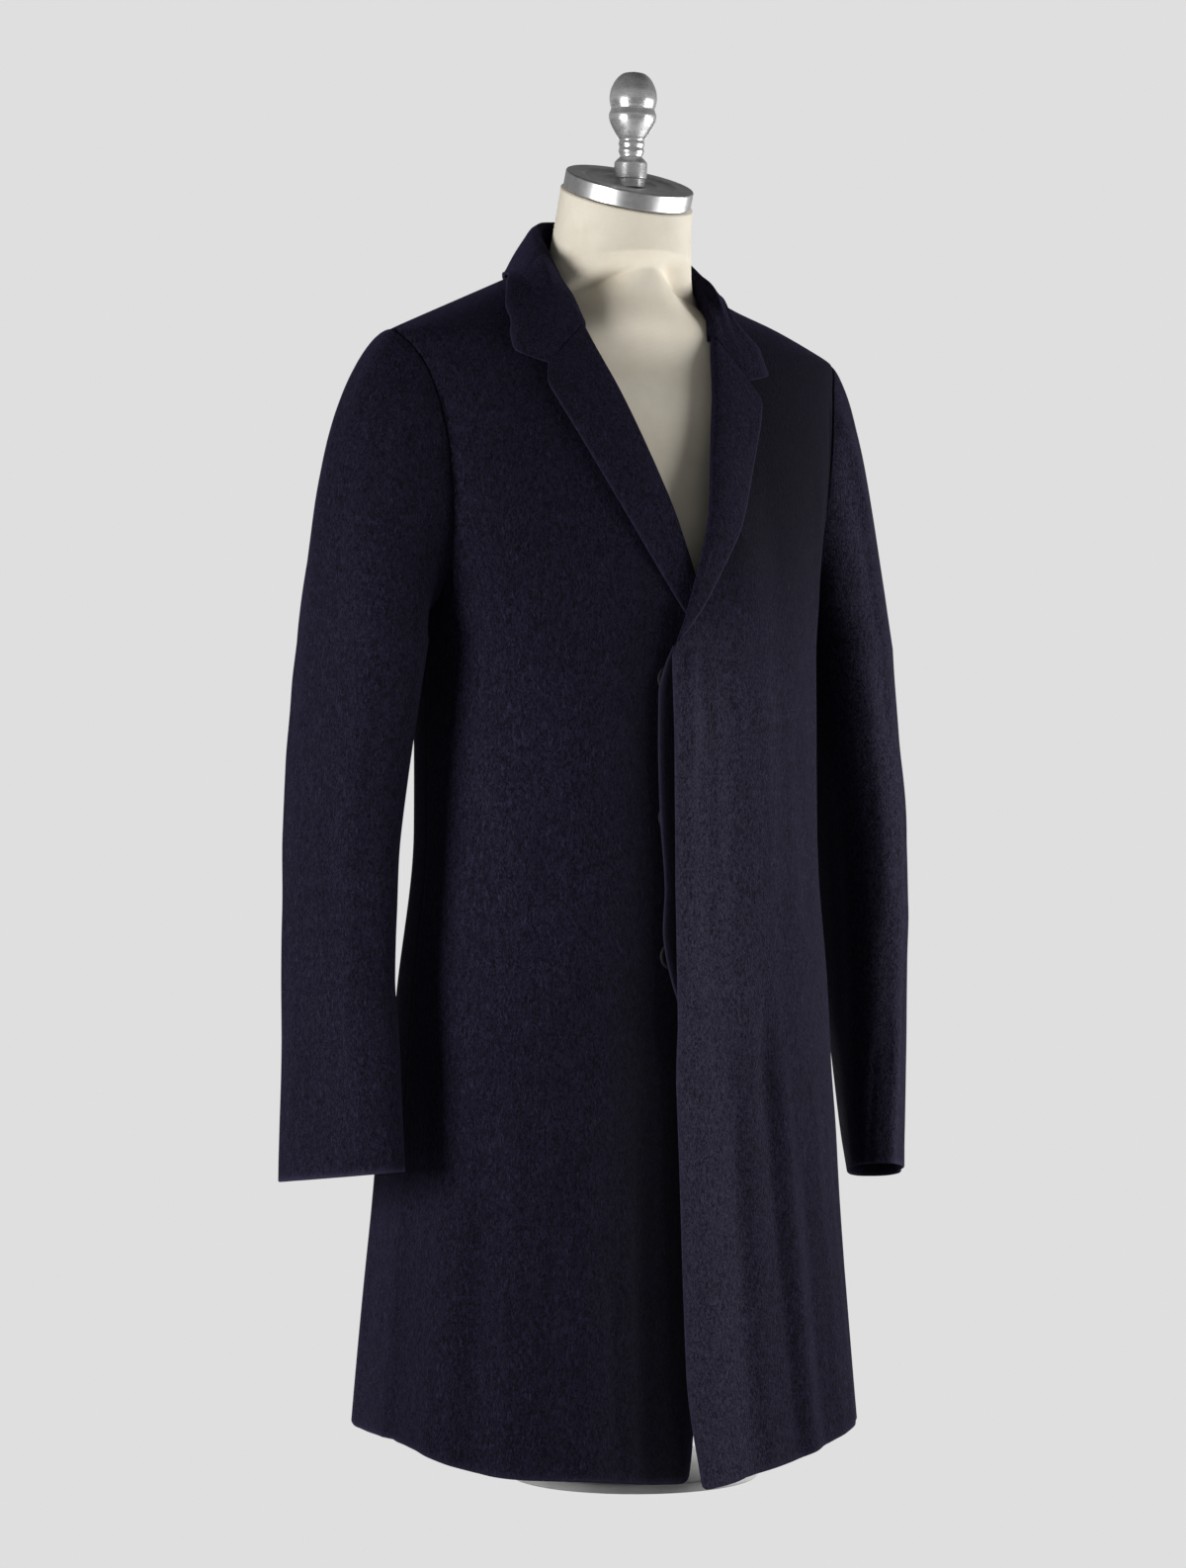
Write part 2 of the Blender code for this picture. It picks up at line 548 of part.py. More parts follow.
def neck_seam(share, side):
    """Degrees round the body and height of the seam that joins the collar, at a share of its run."""
    front = np.minimum(share / NECK_SEAM_SHARE, 1)
    height = ROLL_LINE[-1, 0] + front * (NECK_POINT[1] - ROLL_LINE[-1, 0])
    behind = math.pi / 2 * (1 + (share - NECK_SEAM_SHARE) / (1 - NECK_SEAM_SHARE))
    return np.where(front < 1, angle_across(front_edge(height, side), height), behind), height


def gorge_end(side):
    """The front end of the fall: down the gorge from the roll line to the notch, and on to its point."""
    roll = np.array((ROLL_LINE[-1, 1], ROLL_LINE[-1, 0]))
    notch, tip = np.array(NOTCH[::-1]), np.array(COLLAR_TIP[::-1])
    plan = [roll, roll * 2 / 3 + notch / 3, roll / 3 + notch * 2 / 3, notch, (notch + tip) / 2, tip]
    across, height = np.array(plan).T
    return front_point(side * CLOSING_X + across, height, side, COLLAR_LIFT)


def fall_half(share, side):
    """Rows of the fall, from the fold over its crown and down to its free edge on the coat."""
    column = [smooth_column(COLLAR_RUN, k, share) for k in range(1, 8)]
    fold = np.stack([column[0], column[1] + SHOULDER_Y, column[2] + HEM_Z], -1)
    seat_angle, seat_height = np.radians(column[3]), column[4]
    edge_angle, edge_height = np.radians(column[5]), column[6]
    seat = body_face(seat_angle, seat_height, COLLAR_LIFT)
    edge = body_face(edge_angle, edge_height, COLLAR_LIFT)
    middle = body_face((seat_angle + edge_angle) / 2, (seat_height + edge_height) / 2, COLLAR_LIFT)
    rows = [fold]
    for part in (1 / 3, 2 / 3):
        chord = fold * (1 - part) + seat * part
        seam_angle, seam_height = neck_seam(share, 1)
        beside_angle = seam_angle * (1 - part) + seat_angle * part
        beside_height = seam_height * (1 - part) + seat_height * part
        surface = body_face(beside_angle, beside_height)
        normal = body_face(beside_angle, beside_height, 1.0) - surface
        stands_off = ((chord - surface) * normal).sum(axis=-1, keepdims=True)
        rows.append(chord + normal * (np.maximum(COLLAR_LIFT - stands_off, 0) + COLLAR_CROWN))
    grid = np.stack([*rows, seat, middle, edge])
    grid[..., 0] *= side
    to_the_gorge = gorge_end(side)[:, None] - grid[:, :1]
    return grid + to_the_gorge * (1 - smoothstep(0, NECK_SEAM_SHARE, share))[None, :, None]


def stand_half(share, side):
    """Rows of the stand, from just under the fold down to the neck seam."""
    fold = fall_half(share, side)[0]
    inward = np.array([0.0, SHOULDER_Y + 0.015, 0.0]) - fold
    inward[:, 2] = 0
    inward /= np.linalg.norm(inward, axis=-1, keepdims=True)
    top = fold + inward * STAND_INSIDE - np.array([0, 0, STAND_BELOW])
    foot = body_shape(*neck_seam(share, side)) + np.array([0, 0, STAND_GAP])
    foot[:, 0] *= side
    foot += inward * STAND_GAP * 1.5
    down = np.linspace(0, 1, STAND_ROWS)[:, None, None]
    return top * (1 - down) + foot * down


def round_the_neck(name, half, first, finish):
    """A part of the collar, from its left end over the back to its right end, from the half run given."""
    share = first + (1 - first) * np.linspace(0, 1, COLLAR_HALF)
    grid = np.concatenate([half(share, 1), half(share, -1)[:, -2::-1]], axis=1)
    return cloth(name, grid, finish, flip=True)


def placket(name, finish):
    """The strip under the left front that hides the buttons; its edge shows past the front's own."""
    height = np.linspace(PLACKET_EDGE[0, 0], PLACKET_EDGE[-1, 0], PLACKET_ROWS)[:, None]
    free = CLOSING_X - LAP - smooth_column(PLACKET_EDGE, 1, height)
    across = free + np.linspace(0, 1, PLACKET_COLUMNS)[None] * (PLACKET_WIDTH - LAP - free)
    lift = OVER_PLACKET - CLOTH - LAYER_GAP
    return cloth(name, front_point(across, height, 1, lift), finish, flip=False, thick=PLACKET_THICK)


def button(name, height, finish):
    """A flat four-hole button's disc, with rounded edges, lying on the right front."""
    angle = angle_across(-BUTTON_X, height)
    seat = body_face(angle, height, BUTTON_GAP)
    normal = body_face(angle, height, 1.0 + BUTTON_GAP) - seat
    seat[0] *= -1
    normal[0] *= -1
    edge = BUTTON_THICK / 3
    profile = [
        (0.0, 0.0), (0.0, BUTTON_RADIUS - edge), (edge, BUTTON_RADIUS), (BUTTON_THICK - edge, BUTTON_RADIUS),
        (BUTTON_THICK, BUTTON_RADIUS - edge), (BUTTON_THICK, 0.0),
    ]
    made = turned(name, profile, seat, finish, steps=28)
    made.rotation_euler = Vector(normal).to_track_quat("Z", "X").to_euler()
    return made


# ---------------------------------------------------------------- the form and its stand
FORM_COLUMNS = 44
NECK_RINGS = (0.0, 0.35, 0.7, 1.0)
FORM_EASE = 0.006            # height of the eased edge under the torso
FINIAL_SINK = 0.006          # turned this much longer before its foot is cut to the cap's slope


def form_depth(turn, height):
    """How far the form stays below the cloth's outer face, at an angle round the body and a height."""
    depth = smooth_column(FORM_CLEARANCE, 1, height)
    throat = smoothstep(0.885, 0.92, height) * smoothstep(0.0, 0.35, np.cos(turn))
    depth = depth + throat * (FORM_AT_THROAT - depth)
    centre = np.exp(-(np.sin(turn) / 0.28) ** 2) * (np.cos(turn) > 0)
    depth = depth - FORM_THROAT_OUT * centre * smoothstep(0.855, NECK_POINT[1], height)
    ridge = smoothstep(0.870, 0.880, height) * np.exp(-(np.cos(turn) / 0.10) ** 2)
    return depth + ridge * (FORM_AT_SEAM - depth)


def torso_and_neck(name, finish):
    """The padded body and neck: the coat's own sections, further in, up to the neck's round and the cap."""
    turn = np.linspace(0, 2 * math.pi, FORM_COLUMNS, endpoint=False)
    heights = np.concatenate([np.linspace(FORM_BOTTOM, 0.8276, 14), np.linspace(0.842, NECK_POINT[1], 10)])
    body = [body_face(turn, h, -form_depth(turn, h)) for h in heights]
    middle = body[0].mean(axis=0)
    under = middle + (body[0] - middle) * np.array([0.93, 0.93, 1.0])
    body[0] = middle + (body[0] - middle) * np.array([0.985, 0.985, 1.0])
    under[:, 2] = HEM_Z + FORM_BOTTOM - FORM_EASE
    rings = [under, *body]
    foot = np.array([0.0, SHOULDER_Y + NECK_FOOT[0], HEM_Z + NECK_FOOT[1]])
    cap = np.array([0.0, SHOULDER_Y + CAP_CENTRE[0], HEM_Z + CAP_CENTRE[1]])
    for share in NECK_RINGS:
        tilt = CAP_TILT * share
        clear = np.array([0, -math.sin(tilt), math.cos(tilt)]) * SEAM
        place = foot * (1 - share) + (cap - clear) * share
        radius = NECK_RADIUS + (0.004 * (1 - share) ** 2)
        round_x, round_y = radius * np.sin(turn), -radius * np.cos(turn)
        rings.append(place + np.stack([round_x, round_y * math.cos(tilt), round_y * math.sin(tilt)], -1))
    base = rings[len(heights)]
    neck = rings[len(heights) + 1]
    rings.insert(len(heights) + 1, base * 0.15 + neck * 0.85 - np.array([0, 0, 0.009]))
    return loft(name, settled(np.array(rings), side=0), finish)


def neck_cap(name, finish):
    """The metal disc on the neck: a drum with rounded edges, leaning forward with the neck."""
    edge = 0.0022
    profile = [
        (0.0, 0.0), (0.0, CAP_RADIUS - edge), (edge * 0.3, CAP_RADIUS - edge * 0.3), (edge, CAP_RADIUS),
        (CAP_THICK - edge, CAP_RADIUS), (CAP_THICK - edge * 0.3, CAP_RADIUS - edge * 0.3),
        (CAP_THICK, CAP_RADIUS - edge), (CAP_THICK, 0.0),
    ]
    centre = (0.0, SHOULDER_Y + CAP_CENTRE[0], HEM_Z + CAP_CENTRE[1])
    made = turned(name, profile, centre, finish, steps=48)
    made.rotation_euler = (CAP_TILT, 0.0, 0.0)
    return made


def finial(name, finish):
    """The turned knob: it stands upright, and its foot is cut to the slope of the cap."""
    up = np.array([0.0, -math.sin(CAP_TILT), math.cos(CAP_TILT)])
    seat = np.array([0.0, SHOULDER_Y + CAP_CENTRE[0], HEM_Z + CAP_CENTRE[1]]) + up * (CAP_THICK + SEAM)
    profile = [(-FINIAL_SINK, 0.0), (-FINIAL_SINK, FINIAL_PROFILE[0][1]), *FINIAL_PROFILE]
    made = turned(name, profile, seat, finish, steps=36)
    made.rotation_euler = (FINIAL_LEAN, 0.0, 0.0)
    bpy.ops.mesh.primitive_cube_add(size=1.0)
    slope = bpy.context.object
    slope.name = "cap_slope_cutter"
    for group in list(slope.users_collection):
        group.objects.unlink(slope)
    COAT.objects.link(slope)
    slope.data.transform(Matrix.Diagonal((0.06, 0.06, 0.03, 1.0)))
    slope.location = seat - up * 0.015
    slope.rotation_euler = (CAP_TILT, 0.0, 0.0)
    slope.hide_render = True
    slope.display_type = "WIRE"
    cut = made.modifiers.new("cap_slope", "BOOLEAN")
    cut.operation = "DIFFERENCE"
    cut.solver = "EXACT"
    cut.object = slope
    return made


def disc(name, radius, thick, foot, finish, edge=0.001, steps=48):
    """A plain turned disc or rod standing on the pole's line, its rims eased."""
    profile = [
        (0.0, 0.0), (0.0, radius - edge), (edge, radius),
        (thick - edge, radius), (thick, radius - edge), (thick, 0.0),
    ]
    return turned(name, profile, (0.0, 0.0, foot), finish, steps)


# ---------------------------------------------------------------- the whole object
COAT = start_clean()
WOOL = material("navy_wool", (0.013, 0.012, 0.022), 0.95)
CANVAS = material("cream_canvas", (0.78, 0.71, 0.60), 0.90)
ALUMINIUM = material("brushed_aluminium", (0.78, 0.78, 0.79), 0.30, 1.0)
ENAMEL = material("pale_enamel", (0.72, 0.72, 0.71), 0.60)
RESIN = material("button_resin", (0.012, 0.012, 0.016), 0.35)

back_panel("back", WOOL)
for word, hand in (("right", -1), ("left", 1)):
    front_panel(f"front_{word}", hand, WOOL)
    lapel(f"lapel_{word}", hand, WOOL)
    sleeve(word, hand, WOOL)
round_the_neck("collar_fall", fall_half, 0.0, WOOL)
round_the_neck("collar_stand", stand_half, STAND_FROM, WOOL)
placket("placket", WOOL)
for number, level in enumerate(BUTTON_HEIGHTS, start=1):
    button(f"button_{number}", level, RESIN)

torso_and_neck("form_body", CANVAS)
neck_cap("neck_cap", ALUMINIUM)
finial("finial", ALUMINIUM)
torso_foot = HEM_Z + FORM_BOTTOM - FORM_EASE
disc("form_socket", SOCKET_RADIUS, SOCKET_THICK, torso_foot - SEAM - SOCKET_THICK, ENAMEL)
pole_top = torso_foot - 2 * SEAM - SOCKET_THICK
disc("pole", POLE_RADIUS, pole_top - FOOT_THICK - SEAM, FOOT_THICK + SEAM, ENAMEL)
disc("foot", FOOT_RADIUS, FOOT_THICK, 0.0, ENAMEL)
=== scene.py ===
"""Looks of a single-breasted navy wool overcoat on a limbless dress form, piece by piece.

The order is the one in which the object is put together: stand, torso and neck, cap and finial, then the coat
from its back and fronts to the fly, lapels, sleeves and collar, and last the studio. Everything is in metres.
"""

import math

import bmesh
import bpy
import numpy as np
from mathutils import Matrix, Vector


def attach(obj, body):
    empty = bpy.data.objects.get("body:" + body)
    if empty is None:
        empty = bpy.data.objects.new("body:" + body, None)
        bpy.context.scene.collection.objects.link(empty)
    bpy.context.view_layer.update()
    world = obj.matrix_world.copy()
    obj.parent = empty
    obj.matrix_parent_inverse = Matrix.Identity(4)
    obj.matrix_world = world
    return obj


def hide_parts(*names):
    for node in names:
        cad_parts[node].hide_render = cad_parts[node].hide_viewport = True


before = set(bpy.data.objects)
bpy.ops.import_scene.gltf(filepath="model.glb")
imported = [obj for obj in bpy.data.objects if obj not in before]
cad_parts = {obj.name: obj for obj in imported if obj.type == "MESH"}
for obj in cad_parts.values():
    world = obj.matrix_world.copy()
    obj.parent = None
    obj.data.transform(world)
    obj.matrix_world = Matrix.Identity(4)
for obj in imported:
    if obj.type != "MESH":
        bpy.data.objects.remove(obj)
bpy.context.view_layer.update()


# ================================================================ stand
# A round steel foot, a pole and a socket under the torso, all hidden within the skirt. They are turned or cut
# steel with a satin pale stove enamel, a little rubbed; the solids have the right shape and keep it.
def fill(node, sockets):
    """Gives each of a node's sockets its constant, or a wire where the value is another node's output."""
    for socket, value in sockets.items():
        if isinstance(value, bpy.types.NodeSocket):
            node.id_data.links.new(value, node.inputs[socket])
        else:
            node.inputs[socket].default_value = value


def add(tree, kind, output, sockets, **fields):
    """A new node in the tree, its fields set and its sockets filled, given by the output that is wanted."""
    node = tree.nodes.new("ShaderNode" + kind)
    for field, value in fields.items():
        setattr(node, field, value)
    fill(node, sockets)
    return node.outputs[output]


def ramp(tree, amount, low, low_colour, high, high_colour):
    """The first colour up to the low amount, the second one from the high amount, and a straight blend between."""
    tone = add(tree, "ValToRGB", "Color", {"Fac": amount})
    for stop, place, colour in zip(tone.node.color_ramp.elements, (low, high), (low_colour, high_colour)):
        stop.position, stop.color = place, (*colour, 1)
    return tone


def new_finish(name):
    """A new material with its node tree and its shader."""
    made = bpy.data.materials.new(name)
    made.use_nodes = True
    return made, made.node_tree, made.node_tree.nodes["Principled BSDF"]


def enamel(name):
    """Satin pale paint: a faint orange-peel bump, and greyer where a coarse noise says it is rubbed."""
    made, tree, shader = new_finish(name)
    place = add(tree, "TexCoord", "Object", {})
    rubbed = add(tree, "TexNoise", "Fac", {"Vector": place, "Scale": 40.0, "Detail": 5.0})
    peel = add(tree, "TexNoise", "Fac", {"Vector": place, "Scale": 700.0})
    fill(shader, {
        "Roughness": 0.42,
        "Base Color": ramp(tree, rubbed, 0.45, (0.72, 0.72, 0.71), 0.75, (0.60, 0.60, 0.60)),
        "Normal": add(tree, "Bump", "Normal", {"Height": peel, "Strength": 0.15, "Distance": 0.0003}),
    })
    return made


pale_enamel = enamel("pale_enamel")
for part in ("form_socket", "pole", "foot"):
    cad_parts[part].material_slots[0].material = pale_enamel


# ================================================================ torso and neck
# Layers of papier-mache on a mould, padded and covered in cream canvas that is stretched tight and glued. The
# coat hangs on its shoulders, so both follow the same body sections, the form some millimetres further in.
HEM_Z, SHOULDER_Y = 0.012, 0.030      # lowest hem above the floor; shoulder seams behind the pole
NECK_POINT = (0.085, 0.9306)          # half width and height above the hem where shoulder meets collar
SHOULDER_POINT = (0.207, 0.8776)
SHOULDER_EASE = 0.007                 # rounds the shoulder where it turns down to the arm
SLIP, SLIP_WIDTH = 0.009, 0.050       # the coat sits lower beside the neck on its left
SLIP_FROM, SLIP_TO = (0.850, 0.920), (0.935, 0.980)        # between these heights
DROOP, DROOP_OUT, DROOP_FROM = 0.0050, (0.05, 0.19), (0.78, 0.88)   # and along that shoulder, most at its end

BODY_SECTIONS = np.array([
    # height, half width, front, back, squareness
    (0.000, 0.2030, 0.158, 0.190, 2.30), (0.031, 0.2011, 0.152, 0.186, 2.30),
    (0.133, 0.1935, 0.143, 0.175, 2.30), (0.215, 0.1870, 0.138, 0.165, 2.30),
    (0.365, 0.1790, 0.130, 0.142, 2.30), (0.494, 0.1690, 0.127, 0.117, 2.25),
    (0.585, 0.1700, 0.126, 0.115, 2.20), (0.665, 0.1745, 0.126, 0.120, 2.10),
    (0.725, 0.1830, 0.119, 0.120, 2.10), (0.765, 0.1920, 0.109, 0.114, 2.15),
    (0.825, 0.2020, 0.089, 0.099, 2.20), (0.8776, 0.2070, 0.064, 0.082, 2.20),
    (0.9306, 0.0850, 0.046, 0.070, 2.10),
])
FORM_CLEARANCE = np.array([
    # height, depth below the coat's face
    (0.270, 0.024), (0.365, 0.018), (0.494, 0.013), (0.665, 0.012), (0.765, 0.010), (0.825, 0.0080),
    (0.8776, 0.0065), (0.9306, 0.0070),
])
FORM_AT_SEAM, FORM_AT_THROAT, FORM_THROAT_OUT = 0.0031, 0.0150, 0.0260
FORM_THROAT, FORM_RIDGE = (0.885, 0.920), (0.870, 0.880)   # heights where the throat and the seam ridge begin
FORM_THROAT_ROUND, FORM_RIDGE_WIDTH = 0.35, 0.10           # how far round they reach, as a cosine
FORM_OUT_FROM, FORM_OUT_WIDTH = 0.855, 0.28                # where the throat swells, and how far round
FORM_BOTTOM, FORM_EASE, FORM_ROWS = 0.270, 0.006, (0.842, 0.845)   # even rows end, and closer ones begin
NECK_FLARE, NECK_SINK, NECK_LEAVES, NECK_ARRIVES = 0.004, 0.0003, 1.2, 6.0   # and its curve out of the body
FORM_FOOT_SHRINK, FORM_FIRST_SHRINK = 0.93, 0.985          # the canvas turns in round the bottom
NECK_RADIUS = 0.0530
NECK_FOOT, CAP_CENTRE = (-0.0090, 0.9480), (-0.0200, 0.9930)   # behind the shoulder plane, and height
CAP_TILT = math.radians(20.5)


def cubic(start, end, leave, arrive, t):
    """The curve a(1 + 2t)(1 - t)^2 + lt(1 - t)^2 + bt^2(3 - 2t) + rt^2(t - 1) from a to b, with slopes l and r."""
    return (
        start * (1 + 2 * t) * (1 - t) ** 2 + leave * t * (1 - t) ** 2
        + end * t * t * (3 - 2 * t) + arrive * t * t * (t - 1)
    )


def smooth_column(table, column, where):
    """A column of a table on a cubic curve through its rows, with harmonic-mean slopes, so it can't overshoot."""
    xs, ys = table[:, 0], table[:, column]
    steps, slopes = np.diff(xs), np.diff(ys) / np.diff(xs)
    tangent = np.zeros_like(ys)
    same_way = slopes[:-1] * slopes[1:] > 0
    before, after = slopes[:-1][same_way], slopes[1:][same_way]
    tangent[1:-1][same_way] = 2 * before * after / (before + after)
    tangent[0], tangent[-1] = slopes[0], slopes[-1]
    where = np.clip(np.asarray(where, float), xs[0], xs[-1])
    cell = np.clip(np.searchsorted(xs, where) - 1, 0, len(xs) - 2)
    t = (where - xs[cell]) / steps[cell]
    return cubic(ys[cell], ys[cell + 1], tangent[cell] * steps[cell], tangent[cell + 1] * steps[cell], t)


def smoothstep(low, high, value):
    """0 below low, 1 above high, and 3t^2 - 2t^3 between them."""
    t = np.clip((np.asarray(value, float) - low) / (high - low), 0, 1)
    return t * t * (3 - 2 * t)


def unit(vectors):
    """Vectors divided by their own length."""
    return vectors / np.maximum(np.linalg.norm(vectors, axis=-1, keepdims=True), 1e-12)


def half_width(height):
    """Half width of the body by height, the lesser of the body's and the shoulder seam's straight slope a and b,
    eased where they meet: (a + b - sqrt((a - b)^2 + e^2)) / 2."""
    height = np.asarray(height, float)
    body = smooth_column(BODY_SECTIONS[:-1], 1, height)
    slope = (height - SHOULDER_POINT[1]) / (NECK_POINT[1] - SHOULDER_POINT[1])
    seam = SHOULDER_POINT[0] + slope * (NECK_POINT[0] - SHOULDER_POINT[0])
    return (body + seam - np.sqrt((body - seam) ** 2 + SHOULDER_EASE ** 2)) / 2


def body_shape(angle, height):
    """Points of the coat's outer face: at each height a superellipse, |x/w|^p + |y/d|^p = 1, with its own depth
    in front and behind, and the angle from 0 at the front through 90 degrees at the side to 180 at the back."""
    angle, height = np.broadcast_arrays(np.asarray(angle, float), np.asarray(height, float))
    power = 2 / smooth_column(BODY_SECTIONS, 4, height)
    sine, cosine = np.sin(angle), np.cos(angle)
    ahead, astern = smooth_column(BODY_SECTIONS, 2, height), smooth_column(BODY_SECTIONS, 3, height)
    depth = np.where(cosine > 0, ahead, astern)
    across = half_width(height) * np.sign(sine) * np.abs(sine) ** power
    behind = -depth * np.sign(cosine) * np.abs(cosine) ** power
    return np.stack([across, behind + SHOULDER_Y, height + HEM_Z], -1)


def body_face(angle, height, lift=0.0):
    """Body shape moved out by lift along its own normal, the cross product of its two central differences."""
    step_angle, step_height = 1e-3, 1e-4
    height = np.asarray(height, float)
    below = np.minimum(height, NECK_POINT[1] - step_height)
    point = body_shape(angle, height)
    along = body_shape(angle + step_angle, below) - body_shape(angle - step_angle, below)
    up = body_shape(angle, below + step_height) - body_shape(angle, below - step_height)
    return point + unit(np.cross(along, up)) * np.asarray(lift, float)[..., None]


def settled(points, side=1):
    """Points lowered by a bell curve across, centred beside the neck on one side, and by a smooth step out along
    that shoulder; side 0 lowers both sides."""
    across = points[..., 0] * side if side else np.abs(points[..., 0])
    beside = np.exp(-((across - NECK_POINT[0]) / SLIP_WIDTH) ** 2)
    height = points[..., 2] - HEM_Z
    near = smoothstep(*SLIP_FROM, height) * (1 - smoothstep(*SLIP_TO, height))
    drop = SLIP * beside * near + DROOP * smoothstep(*DROOP_OUT, across) * smoothstep(*DROOP_FROM, height)
    return points - np.stack([0 * drop, 0 * drop, drop], -1)


def quads_of(rows, columns, closed=False, flip=False):
    """Corner numbers of a grid's quads; closed joins the last column to the first."""
    row, column = np.meshgrid(np.arange(rows - 1), np.arange(columns - (0 if closed else 1)), indexing="ij")
    beside = (column + 1) % columns
    quads = np.stack([
        row * columns + column, row * columns + beside,
        (row + 1) * columns + beside, (row + 1) * columns + column,
    ], -1).reshape(-1, 4)
    return quads[:, ::-1] if flip else quads


def piece(name, vertices, quads, finish):
    """A smooth object from an array of points and an array of quads, riding on the body in its finish."""
    mesh = bpy.data.meshes.new(name)
    mesh.from_pydata(np.asarray(vertices, float).tolist(), [], np.asarray(quads).tolist())
    mesh.validate()
    mesh.shade_smooth()
    mesh.materials.append(finish)
    made = bpy.data.objects.new(name, mesh)
    bpy.context.scene.collection.objects.link(made)
    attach(made, "root")
    return made


def close_poles(made):
    """Welds each pole, a ring whose points all lie on one spot, into one point."""
    shape = bmesh.new()
    shape.from_mesh(made.data)
    bmesh.ops.remove_doubles(shape, verts=shape.verts, dist=1e-6)
    shape.to_mesh(made.data)
    shape.free()


def form_depth(turn, height):
    """How far the form stays inside the coat's face: least along the shoulder seams, which carry the coat, and
    further in beside the throat, where it swells out again in the coat's open neck."""
    depth = smooth_column(FORM_CLEARANCE, 1, height)
    throat = smoothstep(*FORM_THROAT, height) * smoothstep(0.0, FORM_THROAT_ROUND, np.cos(turn))
    depth = depth + throat * (FORM_AT_THROAT - depth)
    centre = np.exp(-(np.sin(turn) / FORM_OUT_WIDTH) ** 2) * (np.cos(turn) > 0)
    depth = depth - FORM_THROAT_OUT * centre * smoothstep(FORM_OUT_FROM, NECK_POINT[1], height)
    ridge = smoothstep(*FORM_RIDGE, height) * np.exp(-(np.cos(turn) / FORM_RIDGE_WIDTH) ** 2)
    return depth + ridge * (FORM_AT_SEAM - depth)


def torso_and_neck(columns=180):
    """Rings of points: the body sections less the form's depth, then circles that tilt and step up the neck,
    with a smooth cubic blend of the ring before the neck. Both ends are closed by rings drawn to a point."""
    turn = np.linspace(0, 2 * math.pi, columns, endpoint=False)
    below_throat, from_throat = FORM_ROWS
    heights = np.concatenate([
        np.linspace(FORM_BOTTOM, below_throat, 60), np.linspace(from_throat, NECK_POINT[1], 22),
    ])
    body = [body_face(turn, h, -form_depth(turn, h)) for h in heights]
    middle = body[0].mean(axis=0)
    under = middle + (body[0] - middle) * np.array([FORM_FOOT_SHRINK, FORM_FOOT_SHRINK, 1.0])
    body[0] = middle + (body[0] - middle) * np.array([FORM_FIRST_SHRINK, FORM_FIRST_SHRINK, 1.0])
    under[:, 2] = HEM_Z + FORM_BOTTOM - FORM_EASE
    inside = [under * share + under.mean(axis=0) * (1 - share) for share in (0.0, 0.5, 0.9)]
    foot = np.array([0.0, SHOULDER_Y + NECK_FOOT[0], HEM_Z + NECK_FOOT[1]])
    cap = np.array([0.0, SHOULDER_Y + CAP_CENTRE[0], HEM_Z + CAP_CENTRE[1]])
    neck = []
    for share in np.linspace(0, 1, 22):
        tilt = CAP_TILT * share
        radius = NECK_RADIUS + NECK_FLARE * (1 - share) ** 2
        flat = np.stack([radius * np.sin(turn), -radius * np.cos(turn) * math.cos(tilt),
                         -radius * np.cos(turn) * math.sin(tilt)], -1)
        neck.append(foot * (1 - share) + cap * share - np.array([0, 0, NECK_SINK]) + flat)
    base, below, start = body[-1], body[-3], neck[0]
    leave, arrive = (base - below) * NECK_LEAVES, (neck[1] - neck[0]) * NECK_ARRIVES
    root = [cubic(base, start, leave, arrive, t) for t in np.linspace(0, 1, 10)[1:-1]]
    lid = [neck[-1] * share + neck[-1].mean(axis=0) * (1 - share) for share in (0.9, 0.5, 0.0)]
    return settled(np.array([*inside, under, *body, *root, *neck, *lid]), side=0)


def canvas(name):
    """Fine plain weave: the sum of two sine bands a thread apart, across and up, roughened by noise; the cream
    is a little darker in blotches, as old paste and handling leave it."""
    made, tree, shader = new_finish(name)
    place = add(tree, "TexCoord", "Object", {})
    thread = {"Vector": place, "Scale": 330.0, "Distortion": 1.2, "Detail": 2.0, "Detail Scale": 1.5}
    across, up = (
        add(tree, "TexWave", "Fac", thread, wave_type="BANDS", bands_direction=direction)
        for direction in ("X", "Z")
    )
    weave = add(tree, "Math", "Value", {0: across, 1: up}, operation="ADD")
    blotch = add(tree, "TexNoise", "Fac", {"Vector": place, "Scale": 26.0, "Detail": 6.0, "Roughness": 0.62})
    fill(shader, {
        "Roughness": 0.82, "Sheen Weight": 0.12, "Sheen Roughness": 0.5,
        "Base Color": ramp(tree, blotch, 0.30, (0.725, 0.655, 0.530), 0.72, (0.825, 0.765, 0.650)),
        "Normal": add(tree, "Bump", "Normal", {"Height": weave, "Strength": 0.22, "Distance": 0.0003}),
    })
    return made


cream_canvas = canvas("cream_canvas")
rings = torso_and_neck()
covered_form = piece(
    "covered_form", rings.reshape(-1, 3), quads_of(rings.shape[0], rings.shape[1], closed=True),
    cream_canvas,
)
close_poles(covered_form)
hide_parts("form_body")


